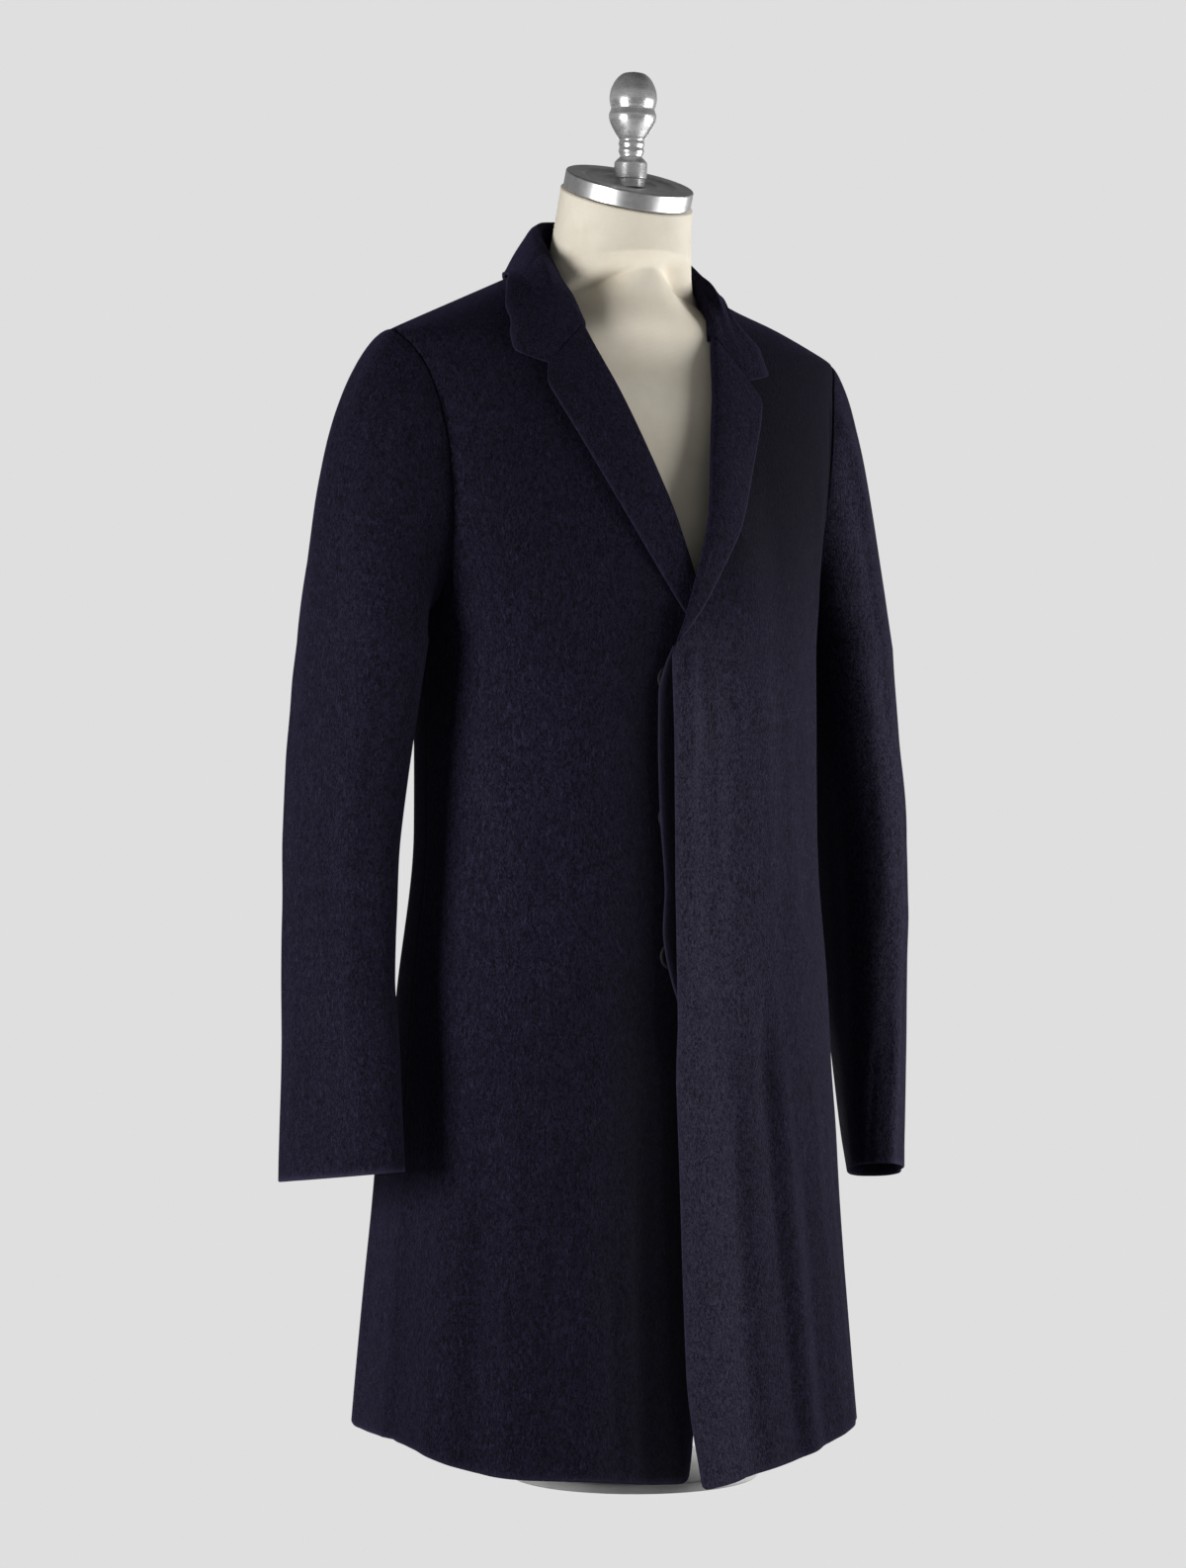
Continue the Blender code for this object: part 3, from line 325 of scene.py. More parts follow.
# ================================================================ neck cap and finial
# A cast aluminium disc turned on a lathe, its rim satin and its top sunk in two shallow steps, and a knob turned
# from one bar and polished, screwed through it. The knob stands almost upright while the disc leans forward.
CAP_THICK, FINIAL_LEAN, FINIAL_SINK, FINIAL_GAP = 0.0145, math.radians(4.0), 0.006, 0.0003
FINIAL_PROFILE = np.array([
    # height above its seat, radius
    (0.0000, 0.0118), (0.0012, 0.0130), (0.0125, 0.0130), (0.0155, 0.0110), (0.0181, 0.0087),
    (0.0225, 0.0101), (0.0250, 0.0095), (0.0280, 0.0102), (0.0305, 0.0097), (0.0336, 0.0116),
    (0.0375, 0.0139), (0.0427, 0.0168), (0.0470, 0.0184), (0.0500, 0.0187), (0.0530, 0.0178),
    (0.0556, 0.0171), (0.0582, 0.0179), (0.0633, 0.0187), (0.0685, 0.0182), (0.0750, 0.0158),
    (0.0801, 0.0122), (0.0832, 0.0076), (0.0845, 0.0000),
])
CAP_PROFILE = np.array([
    # height, radius: underside, rim, and the two sunk steps of the top
    (0.0000, 0.0000), (0.0000, 0.0300), (0.0000, 0.0490), (0.0004, 0.0505), (0.0013, 0.0512),
    (0.0060, 0.0512), (0.0132, 0.0512), (0.0141, 0.0507), (0.0145, 0.0497), (0.0144, 0.0440),
    (0.0143, 0.0385), (0.0139, 0.0372), (0.0131, 0.0362), (0.0129, 0.0340), (0.0129, 0.0260),
    (0.0127, 0.0238), (0.0118, 0.0222), (0.0114, 0.0205), (0.0113, 0.0120), (0.0113, 0.0000),
])


def lengths(points, axis=0):
    """How far along its row or column each point is, as the sum of the steps before it."""
    steps = np.linalg.norm(np.diff(points, axis=axis), axis=-1)
    return np.concatenate([np.zeros_like(steps.take([0], axis)), np.cumsum(steps, axis=axis)], axis=axis)


def lathe(name, profile, fine, columns, centre, tilt, finish):
    """A turned piece: a cubic curve along the profile by its own length, spun round the upright, tipped forward
    by the tilt and set on its centre. UVs are metres: round the widest turn, and along the profile."""
    length = lengths(profile)
    table = np.column_stack([length, profile])
    along = np.unique(np.concatenate([length, np.linspace(0, length[-1], fine)]))
    height, radius = smooth_column(table, 1, along), np.maximum(smooth_column(table, 2, along), 0.0)
    turn = np.linspace(0, 2 * math.pi, columns, endpoint=False)
    x = radius[:, None] * np.sin(turn)
    y = -radius[:, None] * np.cos(turn)
    z = np.repeat(height[:, None], columns, axis=1)
    points = np.stack([x, y * math.cos(tilt) - z * math.sin(tilt), y * math.sin(tilt) + z * math.cos(tilt)], -1)
    quads = quads_of(len(along), columns, closed=True)
    made = piece(name, (points + centre).reshape(-1, 3), quads, finish)
    column = np.tile(np.arange(columns)[:, None] + np.array([0, 1, 1, 0]), (len(along) - 1, 1))
    row = np.repeat(np.arange(len(along) - 1), columns)[:, None] + np.array([0, 0, 1, 1])
    chart = np.stack([column / columns * 2 * math.pi * profile[:, 1].max(), along[row]], -1)
    layer = made.data.uv_layers.new(name="around")
    layer.data.foreach_set("uv", chart.reshape(-1))
    close_poles(made)
    return made


def turned_metal(name, roughness, grooves, wobble, metallic, bright):
    """Bare aluminium off the lathe: fine grooves that run round it, as noise stretched along the turn, and a
    slow wobble of the polished face. Roughness varies with the grooves; an oxide haze makes it less metallic."""
    made, tree, shader = new_finish(name)
    place, chart = add(tree, "TexCoord", "Object", {}), add(tree, "UVMap", "UV", {}, uv_map="around")
    stretch = add(tree, "Mapping", "Vector", {"Vector": chart, "Scale": (60.0, 4200.0, 1.0)})
    groove = add(tree, "TexNoise", "Fac", {"Vector": stretch, "Scale": 1.0, "Detail": 4.0})
    slow = add(tree, "TexNoise", "Fac", {"Vector": place, "Scale": 120.0, "Detail": 3.0})
    dull, clear = np.array((0.600, 0.600, 0.610)) * bright, np.array((0.800, 0.800, 0.805)) * bright
    coarse = add(tree, "Bump", "Normal", {"Height": slow, "Strength": wobble, "Distance": 0.0006})
    fill(shader, {
        "Metallic": metallic,
        "Roughness": add(tree, "MapRange", "Result", {
            "Value": groove, "To Min": roughness * 0.75, "To Max": roughness * 1.35}),
        "Base Color": ramp(tree, slow, 0.30, dull, 0.70, clear),
        "Normal": add(tree, "Bump", "Normal", {
            "Height": groove, "Normal": coarse, "Strength": grooves, "Distance": 0.0001}),
    })
    return made


satin_aluminium = turned_metal(
    "satin_aluminium", roughness=0.32, grooves=0.35, wobble=0.10, metallic=1.0, bright=1.08,
)
polished_aluminium = turned_metal(
    "polished_aluminium", roughness=0.25, grooves=0.15, wobble=0.60, metallic=0.80, bright=1.10,
)
cap_underside = np.array([0.0, SHOULDER_Y + CAP_CENTRE[0], HEM_Z + CAP_CENTRE[1]])
cap_axis = np.array([0.0, -math.sin(CAP_TILT), math.cos(CAP_TILT)])
neck_disc = lathe("neck_disc", CAP_PROFILE, 150, 192, cap_underside, CAP_TILT, satin_aluminium)
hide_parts("neck_cap")
knob_outline = np.concatenate([[(-FINIAL_SINK, 0.0), (-FINIAL_SINK, FINIAL_PROFILE[0, 1])], FINIAL_PROFILE])
turned_knob = lathe(
    "turned_knob", knob_outline, 220, 128, cap_underside + cap_axis * (CAP_THICK + FINIAL_GAP), FINIAL_LEAN,
    polished_aluminium,
)
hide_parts("finial")


# ================================================================ back of the coat
# One piece of double-faced navy wool from side seam to side seam, cut to the hem with no vent. The cloth is two
# thin layers bound together, milled and brushed, so it is thick, soft-edged, and covered in short curling nap.
CLOTH = 0.0025
SEAM_LAP = 0.0002                     # each piece runs this far past its seam line, so that two meet
SEAM_FLAT = 0.012                     # folds and creases die out this far from a seam
SEWN_BULGE = 0.30                     # how round a sewn edge is, where a free one is 1
EDGE_ROWS, NEXT_ROW = np.array([0.0, 0.0026, 0.0060]), 0.011   # rows are closer beside an edge, to carry its roll
RIM_BENDS = np.radians([30.0, 60.0, 90.0, 120.0, 150.0])
ARMPIT = 0.665
ARMHOLE_FRONT, ARMHOLE_BACK = 0.046, 0.056
ARMHOLE_MIDDLE, ARMHOLE_HALF = (SHOULDER_POINT[1] + ARMPIT) / 2, (SHOULDER_POINT[1] - ARMPIT) / 2
HEM_BACK_RISE = 0.024
HEM_RISE = {-1: (0.027, 1.7), 1: (0.036, 1.2)}   # rise to each side seam, and how late it comes
HEM_DIPS = {-1: (-0.0098, 1.00, 0.40), 1: (-0.0052, -0.10, 0.12)}   # each front's hem: rise, angle, width
SIDE_SEAM_BACK = math.radians(3.5)    # how far the side seam swings back down the skirt
SIDE_SEAM_FROM = (0.10, 0.60)         # between these heights
SKIRT_WAVES = ((0.0022, 9.0, 0.7), (0.0014, 15.0, 2.1))    # rise, number round the body, phase
SKIRT_FROM = (0.02, 0.42)             # full below the first height, and gone above the second
BREAK = 0.634                         # height where the lapels start to turn
SHOULDER_TRIM = 0.0045                # half the gap along the shoulder seam, in radians round the body
SHOULDER_LENGTH = 0.133
NECK_SHARE = 0.4                      # share of the back's top edge that is neckline
TOP_ROWS_TURN = 2.2                   # how late the back's rows turn to follow its top edge
RUNS_ROUND = 40.0                     # a crease that turns by more degrees than this runs round, not down
PER_METRE = 500.0                     # and its half width in the tables is this many to the metre

BACK_CREASES = np.array([
    # from: degrees, height    to: degrees, height    half width in degrees, rise
    (172.0, 0.790, 168.0, 0.470, 5.0, 0.0016), (160.0, 0.760, 152.0, 0.520, 4.0, -0.0014),
    (146.0, 0.740, 140.0, 0.420, 5.5, 0.0017), (131.0, 0.700, 128.0, 0.520, 3.5, -0.0012),
    (118.0, 0.690, 121.0, 0.480, 4.0, 0.0013), (176.0, 0.400, 171.0, -0.050, 4.0, -0.0020),
    (163.0, 0.340, 158.0, -0.050, 3.4, 0.0026), (151.0, 0.300, 147.0, -0.050, 3.0, -0.0022),
    (139.0, 0.360, 133.0, -0.050, 4.2, 0.0024), (122.0, 0.280, 119.0, -0.050, 3.0, -0.0020),
    (108.0, 0.330, 107.0, -0.050, 3.6, 0.0018), (-170.0, 0.800, -164.0, 0.500, 4.5, 0.0014),
    (-157.0, 0.730, -151.0, 0.440, 5.0, -0.0016), (-143.0, 0.760, -137.0, 0.500, 4.5, 0.0018),
    (-126.0, 0.700, -124.0, 0.460, 4.5, -0.0013), (-168.0, 0.370, -165.0, -0.050, 3.8, 0.0024),
    (-155.0, 0.260, -152.0, -0.050, 3.0, -0.0018), (-145.0, 0.380, -138.0, -0.050, 4.4, 0.0026),
    (-129.0, 0.300, -127.0, -0.050, 3.0, -0.0023), (-113.0, 0.340, -110.0, -0.050, 4.0, 0.0019),
    (175.0, 0.640, 120.0, 0.605, 9.0, -0.0012), (-172.0, 0.570, -118.0, 0.548, 8.0, -0.0010),
    (-120.0, 0.640, -117.0, 0.290, 16.0, -0.0044),
])


def wool(name):
    """Brushed wool. Nap curls are a noise, stretched upright and distorted, that sets both height and colour;
    flecks are longer, finer hairs where a second noise is high; mottle is a slow change of shade. One attribute,
    1 on a free edge, lightens the cloth where its cut edge is rubbed, and along the left lapel's edge it also
    paints a rim highlight. Another paints light and shade into the colour: below 0 it darkens the cloth as painted
    shade, above 0 it mixes in a lighter nap as painted light."""
    made, tree, shader = new_finish(name)
    place = add(tree, "TexCoord", "Object", {})
    wear_and_rim_light, painted_light_shade = (add(tree, "Attribute", "Fac", {}, attribute_name=kept) for kept in ("wear_and_rim_light", "painted_light_shade"))

    def noise(scale, stretch, detail, distortion):
        """Noise whose grains are stretched upright by one over the stretch."""
        turn = add(tree, "Mapping", "Vector", {"Vector": place, "Scale": (1.0, 1.0, stretch)})
        return add(tree, "TexNoise", "Fac", {
            "Vector": turn, "Scale": scale, "Detail": detail, "Distortion": distortion})

    def held(amount, times, plus=0.0):
        """The amount times one number plus another, held between 0 and 1."""
        return add(tree, "Math", "Value", {0: amount, 1: times, 2: plus}, operation="MULTIPLY_ADD", use_clamp=True)

    def mixed(kind, amount, below, above):
        """The colour below, blended with the one above by the amount."""
        return add(tree, "MixRGB", "Color", {"Fac": amount, "Color1": below, "Color2": above}, blend_type=kind)

    curls = noise(scale=540.0, stretch=0.50, detail=2.0, distortion=1.6)
    flecks = noise(scale=760.0, stretch=0.22, detail=1.5, distortion=0.8)
    mottle = noise(scale=16.0, stretch=0.8, detail=4.0, distortion=0.3)
    nap = ramp(tree, curls, 0.40, (0.0022, 0.0018, 0.0046), 0.64, (0.0132, 0.0108, 0.0262))
    painted_light_nap = ramp(tree, curls, 0.38, (0.011, 0.010, 0.019), 0.66, (0.053, 0.049, 0.081))
    hairs = ramp(tree, flecks, 0.58, (0.0, 0.0, 0.0), 0.74, (1.0, 1.0, 1.0))
    shade = ramp(tree, mottle, 0.30, (0.86, 0.86, 0.87), 0.70, (1.10, 1.10, 1.09))
    colour = mixed("MULTIPLY", 1.0, nap, shade)
    colour = mixed("MIX", held(hairs, 0.45), colour, (0.033, 0.030, 0.062, 1))
    # Painted light and shade: the second attribute darkens the colour below 0 and mixes in a lighter nap above 0.
    colour = mixed("MULTIPLY", 1.0, colour, held(painted_light_shade, 0.45, 1.0))
    colour = mixed("MIX", held(painted_light_shade, 0.2), colour, painted_light_nap)
    # Rubbed free edges, lightened as wear; along the left lapel's edge this also paints a rim highlight.
    colour = mixed("MIX", held(wear_and_rim_light, 0.55), colour, (0.030, 0.027, 0.052, 1))
    relief = add(tree, "Bump", "Normal", {"Height": curls, "Strength": 0.85, "Distance": 0.0012})
    fill(shader, {
        "Roughness": 0.92, "Specular IOR Level": 0.09, "Sheen Weight": 0.07, "Sheen Roughness": 0.42,
        "Sheen Tint": (0.46, 0.42, 0.95, 1), "Base Color": colour,
        "Normal": add(tree, "Bump", "Normal", {
            "Height": flecks, "Normal": relief, "Strength": 0.35, "Distance": 0.0004}),
    })
    return made


def creased(table, angle, height):
    """The sum of soft folds: each is a bell across its line, in degrees round the body, and fades in over the
    first and out over the last fifth of its run from its upper end to its lower end."""
    degrees = np.degrees(angle)[..., None]
    first, top, last, bottom, half, rise = table.T
    run = (top - height[..., None]) / (top - bottom)
    centre = first + (last - first) * np.clip(run, 0, 1)
    across = ((degrees - centre + 180) % 360 - 180) / half
    level = np.abs(last - first) > RUNS_ROUND              # a drag line that runs round, not down
    round_run = (degrees - first) / np.where(last == first, 1, last - first)
    line = top + (bottom - top) * np.clip(round_run, 0, 1)
    up = (height[..., None] - line) / (half / PER_METRE)
    run, across = np.where(level, round_run, run), np.where(level, up, across)
    fade = smoothstep(0.0, 0.2, run) * (1 - smoothstep(0.8, 1.0, run))
    return (rise * np.exp(-across ** 2) * fade).sum(axis=-1)


def hemmed(height, angle, side):
    """Heights of a panel with its hem's rise, which is gone at the break. The hem rises as a power of the sine
    from the front to the side seam, and eases to the centre back."""
    rise, power = HEM_RISE[side]
    out = np.abs(np.sin(angle))
    behind = HEM_BACK_RISE + (rise - HEM_BACK_RISE) * out ** 2
    wave, middle, width = HEM_DIPS[side]
    before = rise * out ** power * (angle > 0) + wave * np.exp(-((angle - middle) / width) ** 2)
    hem = np.where(np.abs(angle) < math.pi / 2, before, behind)
    return height + hem * (1 - smoothstep(0.0, BREAK, height))


def side_seam(height):
    """The angle of the side seam: at the side under the arm, and a little further back down the skirt."""
    return math.pi / 2 + SIDE_SEAM_BACK * (1 - smoothstep(*SIDE_SEAM_FROM, height))


def skirt_folds(angle, height):
    """Two sine waves round the skirt, full at the hem and gone at the hip."""
    waves = sum(rise * np.sin(angle * number + phase) for rise, number, phase in SKIRT_WAVES)
    return (1 - smoothstep(*SKIRT_FROM, height)) * waves


def armhole_angle(height, reach, depth_column):
    """The angle of the armhole on a section: an upright oval, seen from the side."""
    upright = (np.asarray(height, float) - ARMHOLE_MIDDLE) / ARMHOLE_HALF
    behind = reach * np.sqrt(np.clip(1 - upright ** 2, 0, 1))
    power = smooth_column(BODY_SECTIONS, 4, height)
    share = np.clip(behind / smooth_column(BODY_SECTIONS, depth_column, height), 0, 1)
    return np.arccos(share ** (power / 2))


def panel_rows(lower, upper):
    """Heights of a panel's rows at its middle and at its armhole: even up to the armpit, closer just above the
    hem, then climbing by a square root at the middle and by a cosine at the armhole."""
    skirt = np.concatenate([EDGE_ROWS, np.linspace(NEXT_ROW, ARMPIT, lower)])[:-1]
    climb = np.linspace(0, 1, upper)
    inner = ARMPIT + (1 - (1 - climb) ** 2) * (NECK_POINT[1] - ARMPIT)
    outer = ARMPIT + (0.5 - 0.5 * np.cos(math.pi * climb)) * (SHOULDER_POINT[1] - ARMPIT)
    return np.concatenate([skirt, inner]), np.concatenate([skirt, outer])


def shares(count, length, near_first, near_last):
    """Shares of a row from one edge to the other, even, with two closer columns beside a wanted edge."""
    low = EDGE_ROWS[:3 if near_first else 1] / length[:, None]
    high = 1 - EDGE_ROWS[:3 if near_last else 1][::-1] / length[:, None]
    even = np.linspace(0, 1, count)[1:-1]
    start, end = low[:, -1:], high[:, :1]
    return np.concatenate([low, start + even[None] * (end - start), high], axis=1)


def grid_normals(grid, outward):
    """Unit normals of a grid of points, from central differences along its rows and columns."""
    return unit(np.cross(np.gradient(grid, axis=1), np.gradient(grid, axis=0)) * outward)


def square_to(normal, vectors):
    """Unit vectors along the part of each vector that is square to its normal: v - (v.n)n."""
    return unit(vectors - (vectors * normal).sum(axis=-1, keepdims=True) * normal)


def edge_wear(count, rows=1.2):
    """How worn each row is, counted from a free edge: exp(-(row / rows)^2)."""
    return np.exp(-(np.arange(count) / rows) ** 2)


def cloth(name, grid, outward, sewn=(), wear_and_rim_light=None, painted_light_shade=None, thick=CLOTH):
    """A closed piece of cloth round a grid of outer points. The inner face is the grid moved in along its
    normals by the thickness, and the edge between them is a half ellipse that bulges to the grid's own border:
    a half circle where the edge is free, and nearly flat along the borders that are sewn."""
    grid = settled(grid)
    rows, columns, _ = grid.shape
    normal = grid_normals(grid, outward)
    border = np.concatenate([
        np.arange(columns), np.arange(1, rows) * columns + columns - 1,
        (rows - 1) * columns + np.arange(columns - 2, -1, -1), np.arange(rows - 2, 0, -1) * columns,
    ])
    row, column = np.divmod(border, columns)
    inside = grid[np.clip(row, 1, rows - 2), np.clip(column, 1, columns - 2)]
    edge, up = grid.reshape(-1, 3)[border], normal.reshape(-1, 3)[border]
    away, radius = square_to(up, edge - inside), thick / 2
    lines = {"low": row == 0, "far": column == columns - 1, "high": row == rows - 1, "near": column == 0}
    flat = np.any([lines[line] for line in sewn] or [np.zeros(len(border), bool)], axis=0)
    bulge = np.where(flat, SEWN_BULGE, 1.0)[:, None] * away * radius
    outer, inner = grid.copy(), grid - normal * thick
    outer.reshape(-1, 3)[border] = edge - bulge
    inner.reshape(-1, 3)[border] = edge - bulge - up * thick
    rim = np.concatenate([
        edge - bulge - up * radius + up * radius * math.cos(b) + bulge * math.sin(b) for b in RIM_BENDS
    ])
    count, loop = rows * columns, len(border)
    here = np.arange(loop)
    ring = [border, *(2 * count + k * loop + here for k in range(len(RIM_BENDS))), count + border]
    faces = [quads_of(rows, columns, flip=outward < 0), quads_of(rows, columns, flip=outward > 0) + count]
    for near, far in zip(ring[:-1], ring[1:]):
        strip = np.stack([near, far, np.roll(far, -1), np.roll(near, -1)], -1)
        faces.append(strip if outward > 0 else strip[:, ::-1])
    points = np.concatenate([outer.reshape(-1, 3), inner.reshape(-1, 3), rim])
    made = piece(name, points, np.concatenate(faces), navy_wool)
    # Per-point attributes: edge wear, with a painted rim highlight on the left lapel, and painted light and shade.
    for attribute, amount in (("wear_and_rim_light", wear_and_rim_light), ("painted_light_shade", painted_light_shade)):
        flat = np.broadcast_to(0.0 if amount is None else amount, (rows, columns)).reshape(-1)
        values = np.concatenate([flat, flat, np.tile(flat[border], len(RIM_BENDS))])
        made.data.attributes.new(attribute, "FLOAT", "POINT").data.foreach_set("value", values.astype(np.float32))
    return made


def back_half(side, columns=58, lower=112, upper=46):
    """Half of the back by angle and height, from its centre to the side seam and armhole. Near the top its rows
    turn to follow the neckline and the shoulder seam: the blend is the climb raised to a power that grows without
    limit towards the armhole, so the armhole keeps its own line."""
    inner, outer = panel_rows(lower, upper)
    edge = np.where(outer <= ARMPIT, side_seam(outer), math.pi - armhole_angle(outer, ARMHOLE_BACK, 3))
    centre = np.full_like(edge, math.pi)
    length = np.linalg.norm(body_shape(edge, outer) - body_shape(centre, inner), axis=-1)
    share = shares(columns, length, False, True)
    share = share * (1 + SEAM_LAP / length)[:, None]
    angle = centre[:, None] + share * (edge - centre)[:, None]
    height = inner[:, None] + share * (outer - inner)[:, None]
    even = share[-1]
    along_neck = np.minimum(even / NECK_SHARE, 1)
    along_seam = np.maximum((even - NECK_SHARE) / (1 - NECK_SHARE), 0) * (1 + SEAM_LAP / SHOULDER_LENGTH)
    climb = np.clip((np.arange(len(inner)) - (len(inner) - upper)) / (upper - 1), 0, 1)[:, None]
    near_top = climb ** (TOP_ROWS_TURN / np.maximum(1 - even ** 3, 1e-3))
    near_top[-1] = 1
    angle = angle + near_top * (math.pi - along_neck * (math.pi / 2 - SHOULDER_TRIM) - angle)
    height = height + near_top * (NECK_POINT[1] - along_seam * (NECK_POINT[1] - SHOULDER_POINT[1]) - height)
    height = hemmed(height, angle, side)
    lift = skirt_folds(angle * side, height) + creased(BACK_CREASES, angle * side, height)
    grid = body_face(angle, height, lift * smoothstep(0, SEAM_FLAT, (1 - share) * length[:, None]))
    grid[..., 0] *= side
    return grid


navy_wool = wool("navy_wool")
back_grid = np.concatenate([back_half(-1)[:, :0:-1], back_half(1)], axis=1)
hem_wear = edge_wear(len(back_grid))[:, None]
back_of_coat = cloth("back_of_coat", back_grid, -1, ("near", "far", "high"), wear_and_rim_light=hem_wear)
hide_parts("back")


# ================================================================ fronts
# Two pieces of the same wool from the free edge to the side seam, armhole and shoulder. The left one laps over the
# right and carries the fly: its edge is pressed, stitched 32 mm in, and ripples softly over the hidden buttons.
CLOSING_X, LAP = -0.006, 0.022
SWING = {-1: (0.0390, 0.25), 1: (0.0055, 0.085)}  # the free edges part towards the hem: how far, from where
FLICK, FLICK_FROM = 0.0065, 0.038                 # and the right one swings out at its very corner
OVER_FRONT, OVER_PLACKET = 0.0034, 0.0092         # the left front's height above the right one
STRIP_FELT, LAP_ENDS = (0.30, 0.355), (0.71, 0.81)    # heights where the strip lifts it, and where it closes
LAP_EASES = (0.030, 0.085)                        # and how far out from the middle it comes down
EDGE_PROUD, PROUD_WIDTH, PROUD_ENDS = 0.0045, 0.050, 0.560     # the left front's edge stands off further still
HOLLOW, HOLLOW_ENDS = 0.0045, (0.56, 0.76)        # both fronts sink towards the fly between two soft ridges
HOLLOW_RUN = np.array([
    # degrees round the body, share of the hollow
    (-62.0, 0.0), (-46.0, -0.5), (-34.0, -1.0), (-22.0, -0.45), (-12.0, 0.6), (-4.0, 1.0),
    (2.0, 0.9), (10.0, 0.3), (20.0, -0.75), (28.0, -1.0), (40.0, -0.6), (60.0, 0.0),
])
ROLL_LINE = np.array([
    # height, out from the closing line
    (0.634, -0.0205), (0.697, 0.000), (0.783, 0.0270), (0.862, 0.0520), (0.886, 0.0590),
])
# Painted light and shade across the fronts below the chest: the right front darker beside the fly, where the left
# front's edge shades it, and the left front lighter beside its own edge, where the light catches it.
FRONT_PAINTED_LIGHT_SHADE = {
    # out from the lap, painted light above 0 and painted shade below 0
    -1: np.array([(0.0, -1.3), (0.02, -1.1), (0.045, -0.5), (0.08, 0.0), (0.13, 0.2), (0.19, -0.2)]),
    1: np.array([(0.0, 2.9), (0.025, 2.2), (0.05, 1.0), (0.08, 0.2), (0.12, -0.1), (0.18, 0.0)]),
}
FRONT_PAINTED_ENDS, DOWN_FROM, HIGH_FROM = (0.56, 0.74), (0.50, 0.20), (0.58, 0.76)    # heights of the fades
PAINTED_SHADE_TO_HEM = {-1: 0.5, 1: 0.1}                  # painted shade that grows towards the hem
PAINTED_SHADE_ON_CHEST = {-1: 0.4, 1: 1.5}                  # and painted shade over the chest
EDGE_WEAR, EDGE_WEAR_WIDTH, CORNER = 0.6, 0.0022, 0.006    # the free edge's wear, and its corner's radius
FOLD_TUCK = 0.0034                                # the front ends this far inside the lapel's fold

RIGHT_CREASES = np.array([
    # from: degrees, height    to: degrees, height    half width in degrees, rise
    (-13.0, 0.360, -15.0, -0.050, 3.0, -0.0016), (-19.0, 0.260, -18.5, -0.050, 2.0, 0.0016),
    (-22.5, 0.200, -22.0, -0.050, 1.8, -0.0018), (-30.0, 0.300, -31.0, -0.050, 2.8, 0.0014),
    (-38.0, 0.230, -39.0, -0.050, 2.6, -0.0016), (-49.0, 0.330, -51.0, -0.050, 3.6, 0.0013),
    (-66.0, 0.300, -68.0, -0.050, 3.4, 0.0018), (-60.0, 0.240, -59.0, -0.050, 2.2, -0.0013),
    (-78.0, 0.340, -80.0, -0.050, 3.2, -0.0014), (-26.0, 0.600, -27.0, 0.330, 6.0, 0.0010),
    (-44.0, 0.620, -42.0, 0.380, 4.5, -0.0012), (-60.0, 0.845, -66.0, 0.735, 3.4, -0.0024),
    (-72.0, 0.840, -80.0, 0.770, 2.6, 0.0014), (-52.0, 0.800, -60.0, 0.650, 4.0, 0.0012),
    (-68.0, 0.670, -73.0, 0.470, 4.4, -0.0014), (-34.0, 0.760, -40.0, 0.600, 5.0, -0.0008),
])
LEFT_CREASES = np.array([
    (0.5, 0.330, 1.0, -0.050, 3.6, 0.0016), (6.4, 0.320, 7.0, -0.050, 1.9, -0.0018),
    (10.0, 0.360, 12.0, -0.050, 2.2, 0.0018), (14.0, 0.400, 20.0, -0.050, 2.0, -0.0026),
    (20.0, 0.360, 24.5, -0.050, 2.2, 0.0022), (27.0, 0.260, 30.0, -0.050, 2.0, -0.0018),
    (34.0, 0.330, 38.0, -0.050, 3.0, 0.0016), (46.0, 0.280, 49.0, -0.050, 2.8, -0.0018),
    (60.0, 0.320, 62.0, -0.050, 3.6, 0.0017), (77.0, 0.270, 79.0, -0.050, 3.0, -0.0015),
    (6.0, 0.620, 9.0, 0.400, 3.4, -0.0009), (17.0, 0.640, 20.0, 0.420, 4.4, 0.0011),
    (33.0, 0.600, 38.0, 0.410, 4.0, -0.0012), (52.0, 0.660, 50.0, 0.430, 5.0, 0.0013),
    (60.0, 0.845, 66.0, 0.740, 3.2, -0.0022), (50.0, 0.790, 57.0, 0.640, 4.2, 0.0012),
])
FLY_RIPPLES = np.array([
    # middle, half height, in from the edge, half width, rise
    (0.560, 0.130, 0.0140, 0.0050, 0.0026), (0.420, 0.110, 0.0120, 0.0044, 0.0020),
    (0.500, 0.240, 0.0320, 0.0022, -0.0016), (0.460, 0.160, 0.0400, 0.0060, 0.0014),
    (0.350, 0.070, 0.0230, 0.0060, 0.0018), (0.600, 0.050, 0.0260, 0.0040, -0.0014),
    (0.520, 0.060, 0.0220, 0.0034, -0.0013), (0.455, 0.030, 0.0070, 0.0040, -0.0012),
    (0.626, 0.011, 0.0120, 0.0026, -0.0030), (0.622, 0.020, 0.0170, 0.0030, 0.0018),
    (0.230, 0.160, 0.0050, 0.0036, 0.0010), (0.160, 0.200, 0.0130, 0.0040, -0.0008),
])


def angle_across(across, height):
    """The angle at which a section is that far out from the middle, on the front."""
    height = np.asarray(height, float)
    share = np.clip(np.abs(across) / half_width(height), 0, 1)
    angle = np.arcsin(share ** (smooth_column(BODY_SECTIONS, 4, height) / 2))
    return np.sign(across) * angle


